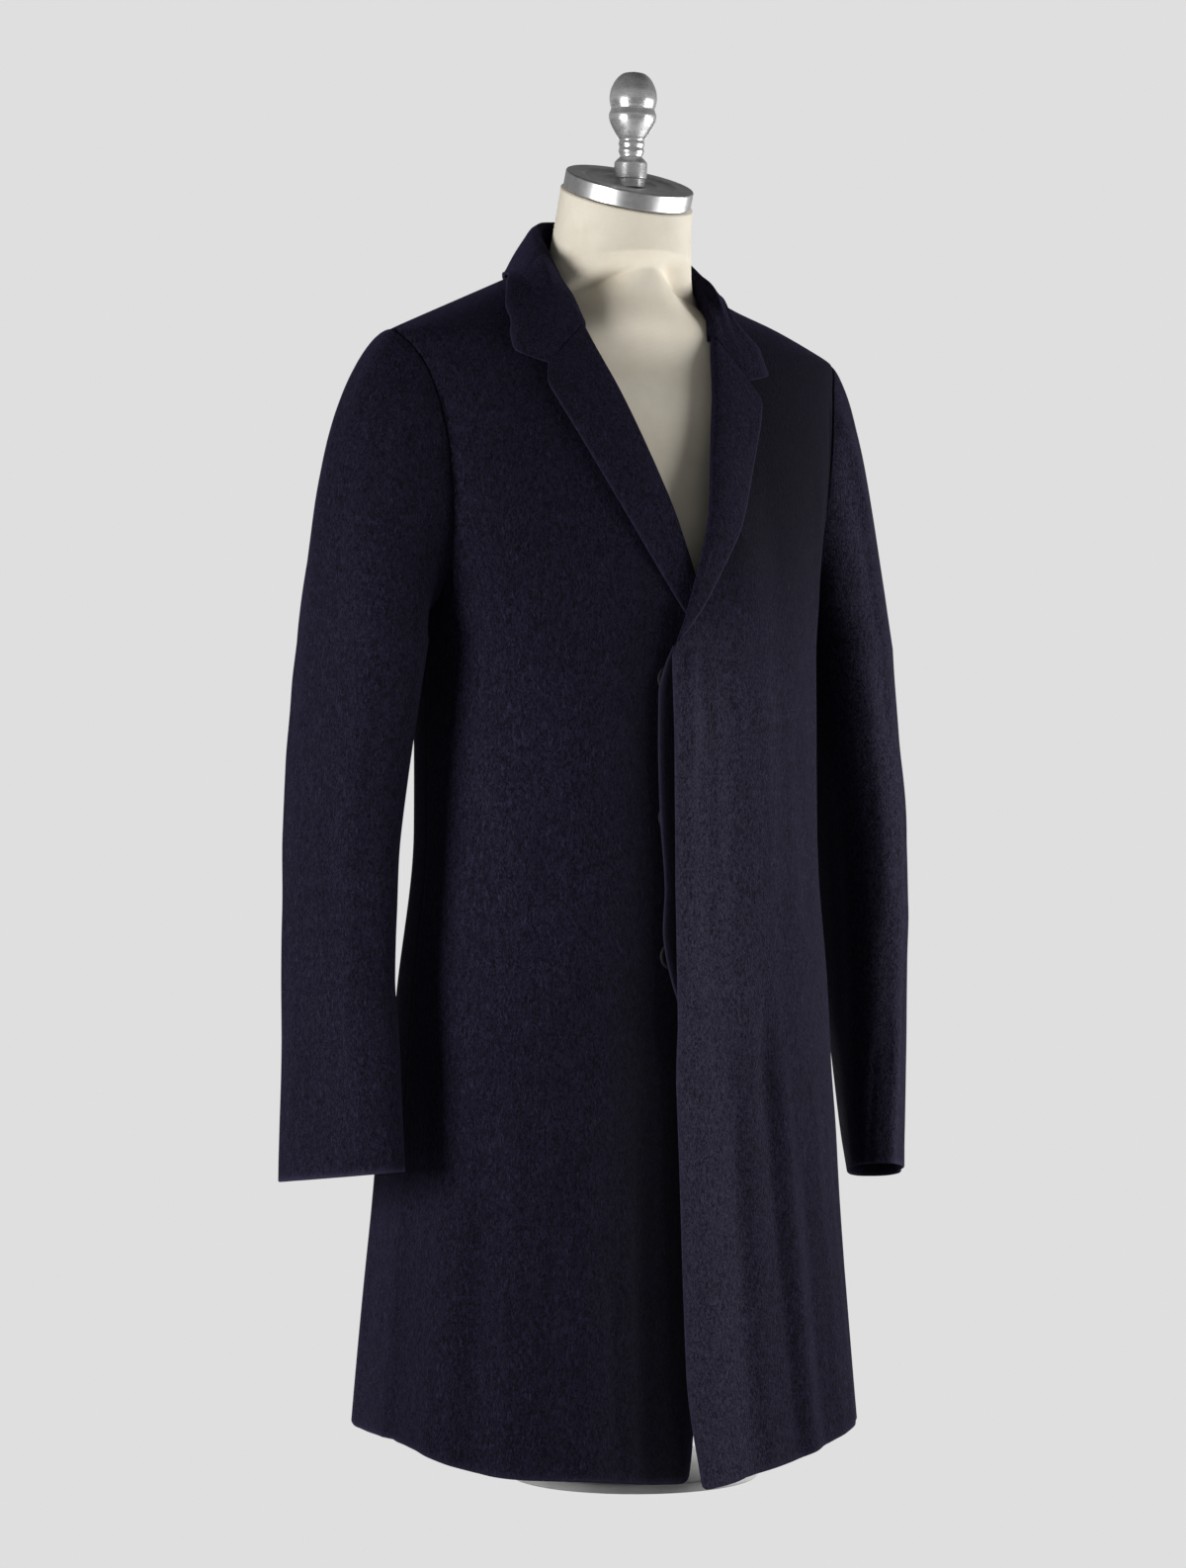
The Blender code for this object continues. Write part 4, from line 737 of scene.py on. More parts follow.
def front_edge(height, side):
    """How far out the front's inner edge is: its free edge up to the break, then the roll line and neck."""
    rolled = side * CLOSING_X + smooth_column(ROLL_LINE, 1, height)
    past_roll = np.clip((height - ROLL_LINE[-1, 0]) / (NECK_POINT[1] - ROLL_LINE[-1, 0]), 0, 1)
    swing, swings_from = SWING[side]
    free = side * CLOSING_X - LAP + swing * (1 - smoothstep(0.0, swings_from, height))
    free = free + FLICK * np.clip(1 - height / FLICK_FROM, 0, 1.2) ** 2 * (side < 0)
    tuck = FOLD_TUCK * smoothstep(BREAK, BREAK + 0.02, height)
    return np.where(height < BREAK, free, rolled + past_roll * (NECK_POINT[0] - rolled) + tuck * (1 - past_roll))


def hollow(angle, height):
    """How far the coat sinks down its middle, by the table, below the chest."""
    return HOLLOW * smooth_column(HOLLOW_RUN, 1, np.degrees(angle)) * (1 - smoothstep(*HOLLOW_ENDS, height))


def overlap_lift(across, height, side):
    """How far a front is moved out: the left one where it laps over the right one, the placket and the buttons,
    and both by the hollow down the middle of the coat."""
    layers = OVER_FRONT + (OVER_PLACKET - OVER_FRONT) * smoothstep(*STRIP_FELT, height)
    layers = layers * (1 - smoothstep(*LAP_ENDS, height))
    below_break = 1 - smoothstep(PROUD_ENDS, BREAK, height)
    proud = EDGE_PROUD * below_break * (1 - smoothstep(0.0, PROUD_WIDTH, across + LAP))
    lap = layers * (1 - smoothstep(*LAP_EASES, across)) + proud
    return lap * (side > 0) - hollow(side * angle_across(across, height), height)


def rippled(across_from_edge, height):
    """The sum of small bumps by the fly: each is a bell across and a raised cosine up, with its own rise."""
    middle, half, inward, width, rise = FLY_RIPPLES.T
    up = np.clip((height[..., None] - middle) / half, -1, 1)
    bell = np.exp(-((across_from_edge[..., None] - inward) / width) ** 2)
    return (rise * bell * (0.5 + 0.5 * np.cos(math.pi * up))).sum(axis=-1)


def rounded(grid, last_row, last_column, radius):
    """The grid with one corner rounded. Near it, lengths from the two edges form a square, which is mapped onto a
    quarter disc: each point keeps its direction, and its larger coordinate becomes its radius."""
    from_corner = np.s_[::-1 if last_row else 1, ::-1 if last_column else 1]
    turned = grid[from_corner].copy()
    across, up = lengths(turned, 1), lengths(turned, 0)
    x, y = np.clip(radius - across, 0, None), np.clip(radius - up, 0, None)
    scale = np.maximum(x, y) / np.maximum(np.hypot(x, y), 1e-9)
    at = np.argmin(np.abs(across[0] - radius)), np.argmin(np.abs(up[:, 0] - radius))
    to_edge, to_end = unit(turned[0, 0] - turned[0, at[0]]), unit(turned[0, 0] - turned[at[1], 0])
    inside = ((x > 0) & (y > 0))[..., None]
    moved = turned + (x * (scale - 1))[..., None] * to_edge + (y * (scale - 1))[..., None] * to_end
    return np.where(inside, moved, turned)[from_corner]


def front_folds(side, table, angle, height, across):
    """A front's creases and skirt folds, and on the left one the ripples by the fly as well."""
    folds = skirt_folds(angle * side, height) + creased(table, angle * side, height)
    if side > 0:
        from_edge = across - front_edge(np.minimum(height, BREAK - 1e-6), side)
        folds = folds + rippled(from_edge, height)
    return folds


def front_grid(side, table, columns=76, lower=112, upper=46):
    """One front by angle and height, from its free edge and roll line to the side seam, armhole and shoulder,
    with its edge wear at each point and its painted light and shade: the table by the distance from the lap, less
    the two fades of painted shade."""
    inner, outer = panel_rows(lower, upper)
    inside = angle_across(front_edge(inner, side), inner)
    outside = np.where(outer <= ARMPIT, side_seam(outer), armhole_angle(outer, ARMHOLE_FRONT, 2))
    inside[-1] = outside[-1] = math.pi / 2 - SHOULDER_TRIM
    length = np.linalg.norm(body_shape(inside, inner) - body_shape(outside, outer), axis=-1)
    share = shares(columns, length, True, True) * (1 + SEAM_LAP / length)[:, None]
    angle = inside[:, None] + share * (outside - inside)[:, None]
    height = inner[:, None] + share * (outer - inner)[:, None]
    height = hemmed(height, angle, side)
    across = body_shape(angle, height)[..., 0]
    folds = front_folds(side, table, angle, height, across)
    folds = folds * smoothstep(0, SEAM_FLAT, (1 - share) * length[:, None])
    grid = body_face(angle, height, overlap_lift(across, height, side) + folds)
    grid[..., 0] *= side
    inward = share * length[:, None]
    wear = np.exp(-(inward / EDGE_WEAR_WIDTH) ** 2) * (height < BREAK)
    from_lap = np.maximum(across - (0.0 if side > 0 else LAP - CLOSING_X), 0)
    # Painted light and shade by the table, less painted shade towards the hem and over the chest.
    painted_shading = smooth_column(FRONT_PAINTED_LIGHT_SHADE[side], 1, from_lap) * (1 - smoothstep(*FRONT_PAINTED_ENDS, height))
    painted_shading = painted_shading - PAINTED_SHADE_TO_HEM[side] * smoothstep(*DOWN_FROM, height)
    painted_shading = painted_shading - PAINTED_SHADE_ON_CHEST[side] * smoothstep(*HIGH_FROM, height)
    return rounded(grid, False, False, CORNER), EDGE_WEAR * np.maximum(wear, hem_wear), painted_shading


for word, side, table in (("right", -1, RIGHT_CREASES), ("left", 1, LEFT_CREASES)):
    grid, wear, painted_shading = front_grid(side, table)
    front = cloth(f"front_of_coat_{word}", grid, side, ("far", "high"), wear_and_rim_light=wear, painted_light_shade=painted_shading)
    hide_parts(f"front_{word}")


# ================================================================ fly: placket strip, buttons and stitching
# A strip of the wool under the left front's edge hides three dished resin buttons sewn to the right front. Its
# pressed edge shows a few millimetres past the front's own, and one row of thread holds it to the front.
LAYER_GAP = 0.0005
# The strip is darkened all over as painted shade, where it lies under the left front's edge.
PLACKET_THICK, PLACKET_WIDTH, STRIP_SINKS, PLACKET_PAINTED_SHADE = 0.0020, 0.048, 0.0030, -1.6
PLACKET_EDGE = np.array([
    # height, how far it shows past the left front's edge
    (0.362, -0.0040), (0.3835, 0.0027), (0.400, 0.0064), (0.417, 0.0084), (0.451, 0.0063), (0.503, 0.0094),
    (0.555, 0.0108), (0.600, 0.0103), (0.622, 0.0045), (0.636, -0.0020),
])
STRIP_COLUMNS = (0.0, 0.035, 0.09)          # shares of the strip's width, closer beside its free edge, then even
BUTTON_HEIGHTS, BUTTON_X, BUTTON_GAP = (0.399, 0.505, 0.611), CLOSING_X - 0.0215, 0.0005
BUTTON_PROFILE = np.array([
    # height, radius: back, rim, and the dished face
    (0.0000, 0.0000), (0.0000, 0.0080), (0.0003, 0.0097), (0.0009, 0.0104), (0.0015, 0.0105), (0.0022, 0.0101),
    (0.0026, 0.0093), (0.0025, 0.0083), (0.0019, 0.0072), (0.0016, 0.0060), (0.0016, 0.0030), (0.0016, 0.0000),
])
FLY_STITCHES = np.array([
    # share of the row, height, in from the free edge
    (0.00, 0.622, 0.0320), (0.30, 0.530, 0.0322), (0.60, 0.430, 0.0318), (0.80, 0.372, 0.0315),
    (0.88, 0.350, 0.0265), (0.94, 0.333, 0.0180), (1.00, 0.318, 0.0080),
])
STITCHES, STITCH_LONG, STITCH_THICK, STITCH_PROUD = 76, 0.0030, 0.00032, 0.00012


def front_point(across, height, side, lift):
    """A point that far out from the middle on a front, moved out from the body's face."""
    grid = body_face(angle_across(across, height), height, lift)
    grid[..., 0] *= side
    return grid


def placket_grid(rows=90, columns=22):
    """The strip by height and by distance from its free edge, which follows the table; it lies at one depth."""
    height = np.linspace(PLACKET_EDGE[0, 0], PLACKET_EDGE[-1, 0], rows)[:, None]
    free = CLOSING_X - LAP - smooth_column(PLACKET_EDGE, 1, height)
    share = np.concatenate([STRIP_COLUMNS[:2], np.linspace(STRIP_COLUMNS[2], 1, columns)])[None]
    across = free + share * (PLACKET_WIDTH - LAP - free)
    return front_point(across, height, 1, OVER_PLACKET - CLOTH - LAYER_GAP - STRIP_SINKS)


def left_front_point(inward, height, above):
    """A point on the left front's own face, that far in from its free edge and that far above the cloth."""
    across = front_edge(height, 1) + inward
    angle = angle_across(across, height)
    folds = front_folds(1, LEFT_CREASES, angle, height, across)
    return settled(body_face(angle, height, overlap_lift(across, height, 1) + folds + above))


def stitched(name, path, finish):
    """A row of stitches along a path of points: each is a six-sided spindle whose radius is the square root of
    a sine along it, laid from one point towards the next. All are one mesh of repeated rings."""
    count = len(path) - 1
    ahead = unit(np.diff(path, axis=0))
    side = unit(np.cross(ahead, (0.0, 0.35, 1.0)))
    up = np.cross(side, ahead)
    along, turn = np.linspace(0, 1, 7), np.linspace(0, 2 * math.pi, 6, endpoint=False)
    radius = STITCH_THICK * np.sqrt(np.sin(math.pi * np.clip(along, 1e-4, 1 - 1e-4)))
    points = (
        path[:-1, None, None] + ahead[:, None, None] * (along * STITCH_LONG)[None, :, None, None]
        + radius[None, :, None, None] * (
            side[:, None, None] * np.cos(turn)[:, None] + up[:, None, None] * np.sin(turn)[:, None])
    )
    first = (np.arange(count) * 42)[:, None, None]
    caps = np.array([[5, 4, 1, 0], [4, 3, 2, 1], [36, 37, 40, 41], [37, 38, 39, 40]])
    faces = [(one[None] + first).reshape(-1, 4) for one in (quads_of(7, 6, closed=True), caps)]
    return piece(name, points.reshape(-1, 3), np.concatenate(faces), finish)


def plain(name, colour, roughness, grain, depth, gloss=0.5):
    """A hard or spun finish of one colour, with a noise that varies it a little and roughens the face."""
    made, tree, shader = new_finish(name)
    place = add(tree, "TexCoord", "Object", {})
    cloud = add(tree, "TexNoise", "Fac", {"Vector": place, "Scale": grain, "Detail": 3.0})
    fill(shader, {
        "Roughness": roughness, "Specular IOR Level": gloss,
        "Base Color": ramp(tree, cloud, 0.0, np.array(colour) * 0.7, 1.0, np.array(colour) * 1.35),
        "Normal": add(tree, "Bump", "Normal", {"Height": cloud, "Strength": 0.3, "Distance": depth}),
    })
    return made


strip = placket_grid()
# Darkened all over as painted shade under the left front's edge.
placket_strip = cloth(
    "placket_strip", strip, 1, thick=PLACKET_THICK, painted_light_shade=PLACKET_PAINTED_SHADE,
    wear_and_rim_light=edge_wear(strip.shape[1])[None],
)
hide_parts("placket")

navy_thread = plain("navy_thread", (0.016, 0.016, 0.028), 0.7, 900.0, 0.0002)
share = np.linspace(0, 1, STITCHES + 1)
stitch_path = left_front_point(
    smooth_column(FLY_STITCHES, 2, share), smooth_column(FLY_STITCHES, 1, share), STITCH_PROUD
)
stitched("fly_stitching", stitch_path, navy_thread)

horn_black = plain("horn_black", (0.010, 0.009, 0.011), 0.60, 60.0, 0.0002, gloss=0.12)
for number, height in enumerate(BUTTON_HEIGHTS, start=1):
    angle = angle_across(-BUTTON_X, height)
    seat = body_face(angle, height, BUTTON_GAP - HOLLOW / 2) * (-1, 1, 1)
    facing = (body_face(angle, height, 1.0) - body_face(angle, height, 0.0)) * (-1, 1, 1)
    button = lathe(f"fly_button_{number}", BUTTON_PROFILE, 40, 48, (0, 0, 0), 0.0, horn_black)
    turn = Vector(facing).to_track_quat("Z", "X").to_matrix().to_4x4()
    turn.translation = seat
    button.data.transform(turn)
    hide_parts(f"button_{number}")


# ================================================================ lapels
# Each front's facing turned back along the roll line, pressed but not sharp, so it rolls over a soft fold. The
# free edge is bagged out and pressed thin; the gorge seam joins its top to the collar as far as the notch.
LAPEL_EDGE = {
    -1: np.array([
        # height, out from the closing line
        (0.634, -0.0195), (0.659, 0.0055), (0.686, 0.0255), (0.718, 0.0450), (0.749, 0.0612),
        (0.775, 0.0738), (0.812, 0.0915), (0.837, 0.1018),
    ]),
    1: np.array([
        (0.634, -0.0195), (0.648, -0.0100), (0.668, 0.0045), (0.690, 0.0182), (0.718, 0.0362), (0.749, 0.0545),
        (0.769, 0.0652), (0.800, 0.0805), (0.832, 0.0912),
    ]),
}
NOTCH = {-1: (0.8520, 0.0975), 1: (0.8465, 0.0815)}             # height, out from the closing line
COLLAR_TIP = {-1: (0.8605, 0.1222), 1: (0.8525, 0.1064)}
LAPEL_FOOT, LAPEL_RISE, LAPEL_CROWN, CROWN_NEAR_ROLL = 0.006, 0.0022, 0.0030, 0.6
LAPEL_TOP_TURN, LAPEL_EDGE_ROW, FOLD_NARROWS = 3.5, 0.0024, 0.012
LAPEL_BENDS = np.radians([172.0, 150.0, 128.0, 106.0, 84.0, 62.0, 40.0, 20.0])   # round the fold
GORGE_SHARE, GORGE_GAP = 5 / 7, 0.0003
# How much each lapel's free edge is lightened: rubbed wear on both, and on the left one also a painted rim
# highlight.
LAPEL_WEAR_AND_RIM_LIGHT = {-1: 0.35, 1: 0.8}
LAPEL_WEAR_WIDTH, LAPEL_OPENS = 0.0018, (0.08, 0.45)            # it stands off between these shares of its run


def lapel_face(share, ends, side):
    """Points of a lapel's face: rows climb from the break to the gorge, shares run from the roll to the free
    edge. It stands off the front by a rise and by a sine crown behind the roll, and sinks into it at the break."""
    foot = BREAK + LAPEL_FOOT
    roll_height = foot + ends * (ROLL_LINE[-1, 0] - foot)
    table, notch = LAPEL_EDGE[side], NOTCH[side]
    edge_height = foot + ends * (table[-1, 0] - foot)
    roll, edge = smooth_column(ROLL_LINE, 1, roll_height), smooth_column(table, 1, edge_height)
    out = roll * (1 - share) + edge * share
    height = roll_height * (1 - share) + edge_height * share
    near_top = ends ** LAPEL_TOP_TURN
    corners = (0.0, GORGE_SHARE, 1.0)
    top_out = np.interp(share, corners, (ROLL_LINE[-1, 1], notch[1], table[-1, 1]))
    top_height = np.interp(share, corners, (ROLL_LINE[-1, 0], notch[0], table[-1, 0])) - GORGE_GAP
    out = out + near_top * (top_out - out)
    height = height + near_top * (top_height - height)
    across = side * CLOSING_X + out
    lift = (CLOTH + LAYER_GAP) * smoothstep(-0.01, 0.07, ends) + smoothstep(*LAPEL_OPENS, ends) * (
        LAPEL_RISE + LAPEL_CROWN * np.sin(math.pi * share ** CROWN_NEAR_ROLL) * (1 - near_top)
    )
    lift = lift + overlap_lift(across, height, side)
    return front_point(across, height, side, lift), front_point(across, height, side, lift + 1.0)


def lapel_grid(side, rows=110, columns=44):
    """The lapel's face, and before it the fold: an arc from under the front's edge round to the face, whose
    radius is half of the two cloths and the gap between them."""
    ends = np.linspace(0, 1, rows)[:, None]
    roll, _ = lapel_face(np.zeros((1, 1)), ends, side)
    free, _ = lapel_face(np.ones((1, 1)), ends, side)
    width = np.linalg.norm(free - roll, axis=-1)
    radius = CLOTH + LAYER_GAP / 2 + LAPEL_RISE / 2 * smoothstep(*LAPEL_OPENS, ends)
    radius = radius * np.minimum(1, width / FOLD_NARROWS)
    even = np.concatenate([np.linspace(0, 1, columns)[:-1], [0]])[None]
    start, close = radius / width, np.minimum(LAPEL_EDGE_ROW / width, 0.2)
    share = start + even * (1 - close - start)
    share[:, -2:] = np.concatenate([1 - close, np.ones_like(close)], axis=1)
    face, above = lapel_face(share, ends, side)
    normal = (above - face)[:, :1]
    inward = square_to(normal, roll - free)
    bend = LAPEL_BENDS[None, :, None]
    radius = radius[..., None]
    fold = face[:, :1] - normal * radius + radius * (normal * np.cos(bend) + inward * np.sin(bend))
    # Edge wear along the free edge, with a painted rim highlight on the left lapel.
    wear = LAPEL_WEAR_AND_RIM_LIGHT[side] * np.exp(-((1 - share) * width / LAPEL_WEAR_WIDTH) ** 2)
    wear = np.concatenate([np.zeros((rows, bend.shape[1])), wear], axis=1)
    return rounded(np.concatenate([fold, face], axis=1), True, True, CORNER), wear


for word, side in (("right", -1), ("left", 1)):
    grid, wear = lapel_grid(side)
    turned_back = cloth(f"turned_lapel_{word}", grid, side, ("high",), wear_and_rim_light=wear)
    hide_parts(f"lapel_{word}")


# ================================================================ sleeves
# Two-piece tailored sleeves: a top piece outside the arm and an under piece inside it, sewn together front and
# back and set into the armhole with a little fullness. They hang empty, so they are flattened and softly dented.
SLEEVE_SECTIONS = np.array([
    # height, out, behind, half thickness, half depth, turn of the front edge inwards
    (0.640, 0.2200, 0.005, 0.0360, 0.0655, 4.0), (0.604, 0.2255, 0.006, 0.0345, 0.0650, 5.0),
    (0.541, 0.2325, 0.008, 0.0325, 0.0620, 6.0), (0.447, 0.2412, 0.009, 0.0295, 0.0585, 8.0),
    (0.384, 0.2450, 0.006, 0.0275, 0.0585, 9.0), (0.321, 0.2470, 0.001, 0.0260, 0.0592, 11.0),
    (0.259, 0.2492, -0.003, 0.0245, 0.0612, 13.0), (0.2336, 0.2505, -0.006, 0.0235, 0.0622, 14.0),
])
CUFF = {"right": (0.002, 0.12, 0.0), "left": (0.021, 0.19, 19.0)}   # drop, slope, extra turn
SLEEVE_ROUND, ARMHOLE_TUCK = 0.78, 0.0012
SLEEVE_LAP = 0.0050                         # each piece runs this far past its seams, in radians round the arm
SLEEVE_EDGE, SLEEVE_STEP = (0.035, 0.060), 2.8    # its columns beside a seam in radians, then evenly in degrees
SLEEVE_HEAD = {"right": (0.026, 0.004), "left": (0.016, 0.016)}     # how far it leaves the armhole, and leans in
SLEEVE_SHIFT = {
    # height, further out than the section, share of the section's size
    "right": np.array([
        (0.250, -0.002, 0.96), (0.340, -0.0015, 0.94), (0.385, -0.001, 0.90), (0.430, -0.001, 0.90),
        (0.490, 0.002, 0.91), (0.570, 0.003, 0.94), (0.620, 0.004, 0.96), (0.710, 0.0055, 0.96),
        (0.840, 0.008, 0.96),
    ]),
    "left": np.array([
        (0.250, 0.0015, 0.88), (0.300, 0.002, 0.91), (0.385, 0.0035, 0.95), (0.430, 0.006, 0.96),
        (0.490, 0.005, 0.96), (0.530, 0.001, 0.96), (0.570, -0.0035, 0.96), (0.620, -0.006, 0.96),
        (0.665, -0.005, 0.96), (0.720, -0.001, 0.96), (0.830, 0.004, 0.96),
    ]),
}
SHOULDER_SLOPE = 0.42                       # the sleeve carries on down the line of the shoulder
UNDER_LEAVES, FORE_LEAVES, UNDER_DROPS = 0.006, 0.010, 0.003        # the foot and front of the sleeve head
HEAD_ARRIVES = (0.012, 0.095, 1.5)          # how far above the arm the head aims: at its foot, more on top, power
HEAD_ROWS = (0.0, 0.02, 0.045)              # shares of the head's run, closer beside the armhole, then even
CUFF_ROWS = np.array([0.008, 0.0052, 0.0024, 0.0])          # the last rows above the cuff's edge
SHIFT_ROWS, FOLD_COLUMNS, FOLD_ROWS = (2, 34), 6, 10        # where the shift comes in, and where creases begin
SLEEVE_PAINTED_LIGHT_SHADE = {"right": (-0.35, 0.0), "left": (0.1, 1.7)}         # painted light and shade over the whole sleeve, and more painted light in one band
PAINTED_LIGHT_BAND = 92.0, 36.0                     # the band's middle in degrees from the sleeve's top, and its width
SLEEVE_PIECES = {"top": (-105.0, 135.0), "under": (135.0, 255.0)}   # turns from the top, through the front

SLEEVE_CREASES = {
    "right": np.array([
        # from: turn, height    to: turn, height    half width in degrees, rise
        (24.0, 0.860, 10.0, 0.640, 8.0, 0.0016), (50.0, 0.845, 62.0, 0.740, 9.0, -0.0022),
        (-6.0, 0.830, -12.0, 0.560, 9.0, -0.0012), (40.0, 0.700, 52.0, 0.470, 12.0, -0.0012),
        (70.0, 0.640, 66.0, 0.360, 11.0, 0.0012), (18.0, 0.560, 24.0, 0.300, 12.0, 0.0014),
        (95.0, 0.520, 88.0, 0.260, 10.0, -0.0012), (-40.0, 0.760, -34.0, 0.540, 12.0, 0.0016),
        (-60.0, 0.600, -50.0, 0.330, 12.0, -0.0018), (-85.0, 0.700, -76.0, 0.450, 11.0, 0.0016),
        (40.0, 0.400, 44.0, 0.180, 9.0, -0.0010), (-20.0, 0.420, -22.0, 0.180, 10.0, -0.0012),
        (160.0, 0.600, 168.0, 0.350, 12.0, -0.0018), (200.0, 0.560, 196.0, 0.300, 12.0, 0.0014),
        (235.0, 0.640, 228.0, 0.400, 11.0, -0.0014),
    ]),
    "left": np.array([
        (20.0, 0.850, 26.0, 0.660, 9.0, 0.0014), (52.0, 0.845, 66.0, 0.720, 8.0, -0.0024),
        (75.0, 0.760, 82.0, 0.560, 9.0, 0.0014), (36.0, 0.720, 40.0, 0.480, 12.0, -0.0014),
        (4.0, 0.700, 12.0, 0.450, 10.0, 0.0012), (96.0, 0.640, 92.0, 0.400, 10.0, -0.0016),
        (58.0, 0.540, 54.0, 0.300, 12.0, 0.0016), (24.0, 0.470, 20.0, 0.200, 9.0, -0.0014),
        (-4.0, 0.400, -2.0, 0.170, 8.0, 0.0018), (74.0, 0.360, 70.0, 0.170, 10.0, -0.0020),
        (100.0, 0.330, 104.0, 0.170, 8.0, 0.0016), (-32.0, 0.800, -42.0, 0.580, 11.0, -0.0016),
        (-55.0, 0.640, -46.0, 0.380, 12.0, 0.0018), (-82.0, 0.600, -88.0, 0.330, 11.0, -0.0018),
        (-30.0, 0.400, -34.0, 0.170, 10.0, -0.0014), (165.0, 0.560, 160.0, 0.300, 12.0, 0.0014),
        (205.0, 0.620, 212.0, 0.340, 12.0, -0.0018),
    ]),
}


def armhole_loop(turn, side):
    """Points round an armhole, by the turn from its top through its front, foot and back."""
    height = ARMHOLE_MIDDLE + ARMHOLE_HALF * np.cos(turn)
    front = armhole_angle(height, ARMHOLE_FRONT, 2)
    back = math.pi - armhole_angle(height, ARMHOLE_BACK, 3)
    point = body_shape(np.where(np.sin(turn) >= 0, front, back), height)
    point[..., 0] = (point[..., 0] - ARMHOLE_TUCK) * side
    return point


def arm_loop(turn, height, side, word):
    """A turned oval at each height below the sleeve head: powers of the cosine and sine a little under one,
    turned by the yaw, dropped at the cuff, and sloped up to the front over its last part."""
    drop, slope, twist = CUFF[word]
    first, last = SLEEVE_SECTIONS[0, 0], SLEEVE_SECTIONS[-1, 0]
    reach = (first - height) / (first - last)
    across, behind, thick, depth, yaw = (smooth_column(SLEEVE_SECTIONS[::-1], k, height) for k in range(1, 6))
    yaw = np.radians(yaw + twist * reach ** 2)
    slack = smooth_column(SLEEVE_SHIFT[word], 2, height)
    thick, depth = thick * slack, depth * slack
    out = thick * np.sign(np.cos(turn)) * np.abs(np.cos(turn)) ** SLEEVE_ROUND
    fore = depth * np.sign(np.sin(turn)) * np.abs(np.sin(turn)) ** SLEEVE_ROUND
    x = across + out * np.cos(yaw) - fore * np.sin(yaw)
    y = SHOULDER_Y + behind - fore * np.cos(yaw) - out * np.sin(yaw)
    z = HEM_Z + height - drop * reach ** 2 + slope * reach ** 6 * fore
    return np.stack([x * side, y, z], -1)


def sleeve_grid(turn, side, word, head_rows=64, arm_rows=100):
    """The sleeve's outer face along the given turns: a cubic Bezier from the armhole to the top of the arm, then
    the ovals, moved along its normals by its creases, which die out beside its seams."""
    first, last = SLEEVE_SECTIONS[0, 0], SLEEVE_SECTIONS[-1, 0]
    start, end = armhole_loop(turn, side), arm_loop(turn, np.full_like(turn, first), side, word)
    over, front = 0.5 + 0.5 * np.cos(turn), np.sin(turn)
    leaves, leans = SLEEVE_HEAD[word]
    leave = np.stack([
        side * (UNDER_LEAVES + (leaves - UNDER_LEAVES) * over), -FORE_LEAVES * front * (1 - over),
        -SHOULDER_SLOPE * leaves * over ** 2 - UNDER_DROPS * (1 - over),
    ], -1)
    foot, top, power = HEAD_ARRIVES
    arrive = np.stack([-side * leans * over, FORE_LEAVES * front, foot + top * over ** power], -1)
    t = np.concatenate([HEAD_ROWS[:2], np.linspace(HEAD_ROWS[2], 1, head_rows)])[:, None, None]
    head = (
        start * (1 - t) ** 3 + (start + leave) * 3 * t * (1 - t) ** 2
        + (end + arrive) * 3 * t * t * (1 - t) + end * t ** 3
    )
    level = np.concatenate([np.linspace(first, last + CUFF_ROWS[0], arm_rows)[1:], last + CUFF_ROWS[1:]])
    arm = arm_loop(turn[None], level[:, None], side, word)
    grid = np.concatenate([head, arm])
    height = grid[..., 2] - HEM_Z
    near = smoothstep(*SHIFT_ROWS, np.arange(len(grid)))[:, None]
    grid[..., 0] += side * near * smooth_column(SLEEVE_SHIFT[word], 1, height)
    normal = grid_normals(grid, -side)
    degrees = np.broadcast_to(turn, height.shape)
    edge = np.minimum(np.arange(len(turn)), np.arange(len(turn))[::-1])
    fade = smoothstep(0, FOLD_COLUMNS, edge)[None] * smoothstep(0, FOLD_ROWS, np.arange(len(grid)))[:, None]
    folds = creased(SLEEVE_CREASES[word], degrees, height)
    return grid + normal * (folds * fade)[..., None]


for word, side in (("right", -1), ("left", 1)):
    for part, (first, last) in SLEEVE_PIECES.items():
        start, end = math.radians(first) - SLEEVE_LAP, math.radians(last) + SLEEVE_LAP
        near, even = SLEEVE_EDGE
        turn = np.concatenate([
            [start, start + near], np.linspace(start + even, end - even, round((last - first) / SLEEVE_STEP)),
            [end - near, end],
        ])
        grid = sleeve_grid(turn, side, word)
        # Painted shade over the whole right sleeve, and painted light down the left sleeve's front band.
        all_over, down_front = SLEEVE_PAINTED_LIGHT_SHADE[word]
        band = np.exp(-((np.degrees(turn) - PAINTED_LIGHT_BAND[0]) / PAINTED_LIGHT_BAND[1]) ** 2)[None]
        sewn = cloth(
            f"{part}_sleeve_{word}", grid[::-1], side, ("near", "far", "high"),
            wear_and_rim_light=edge_wear(len(grid))[:, None], painted_light_shade=all_over + down_front * band,
        )
        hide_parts(f"sleeve_{part}_{word}")


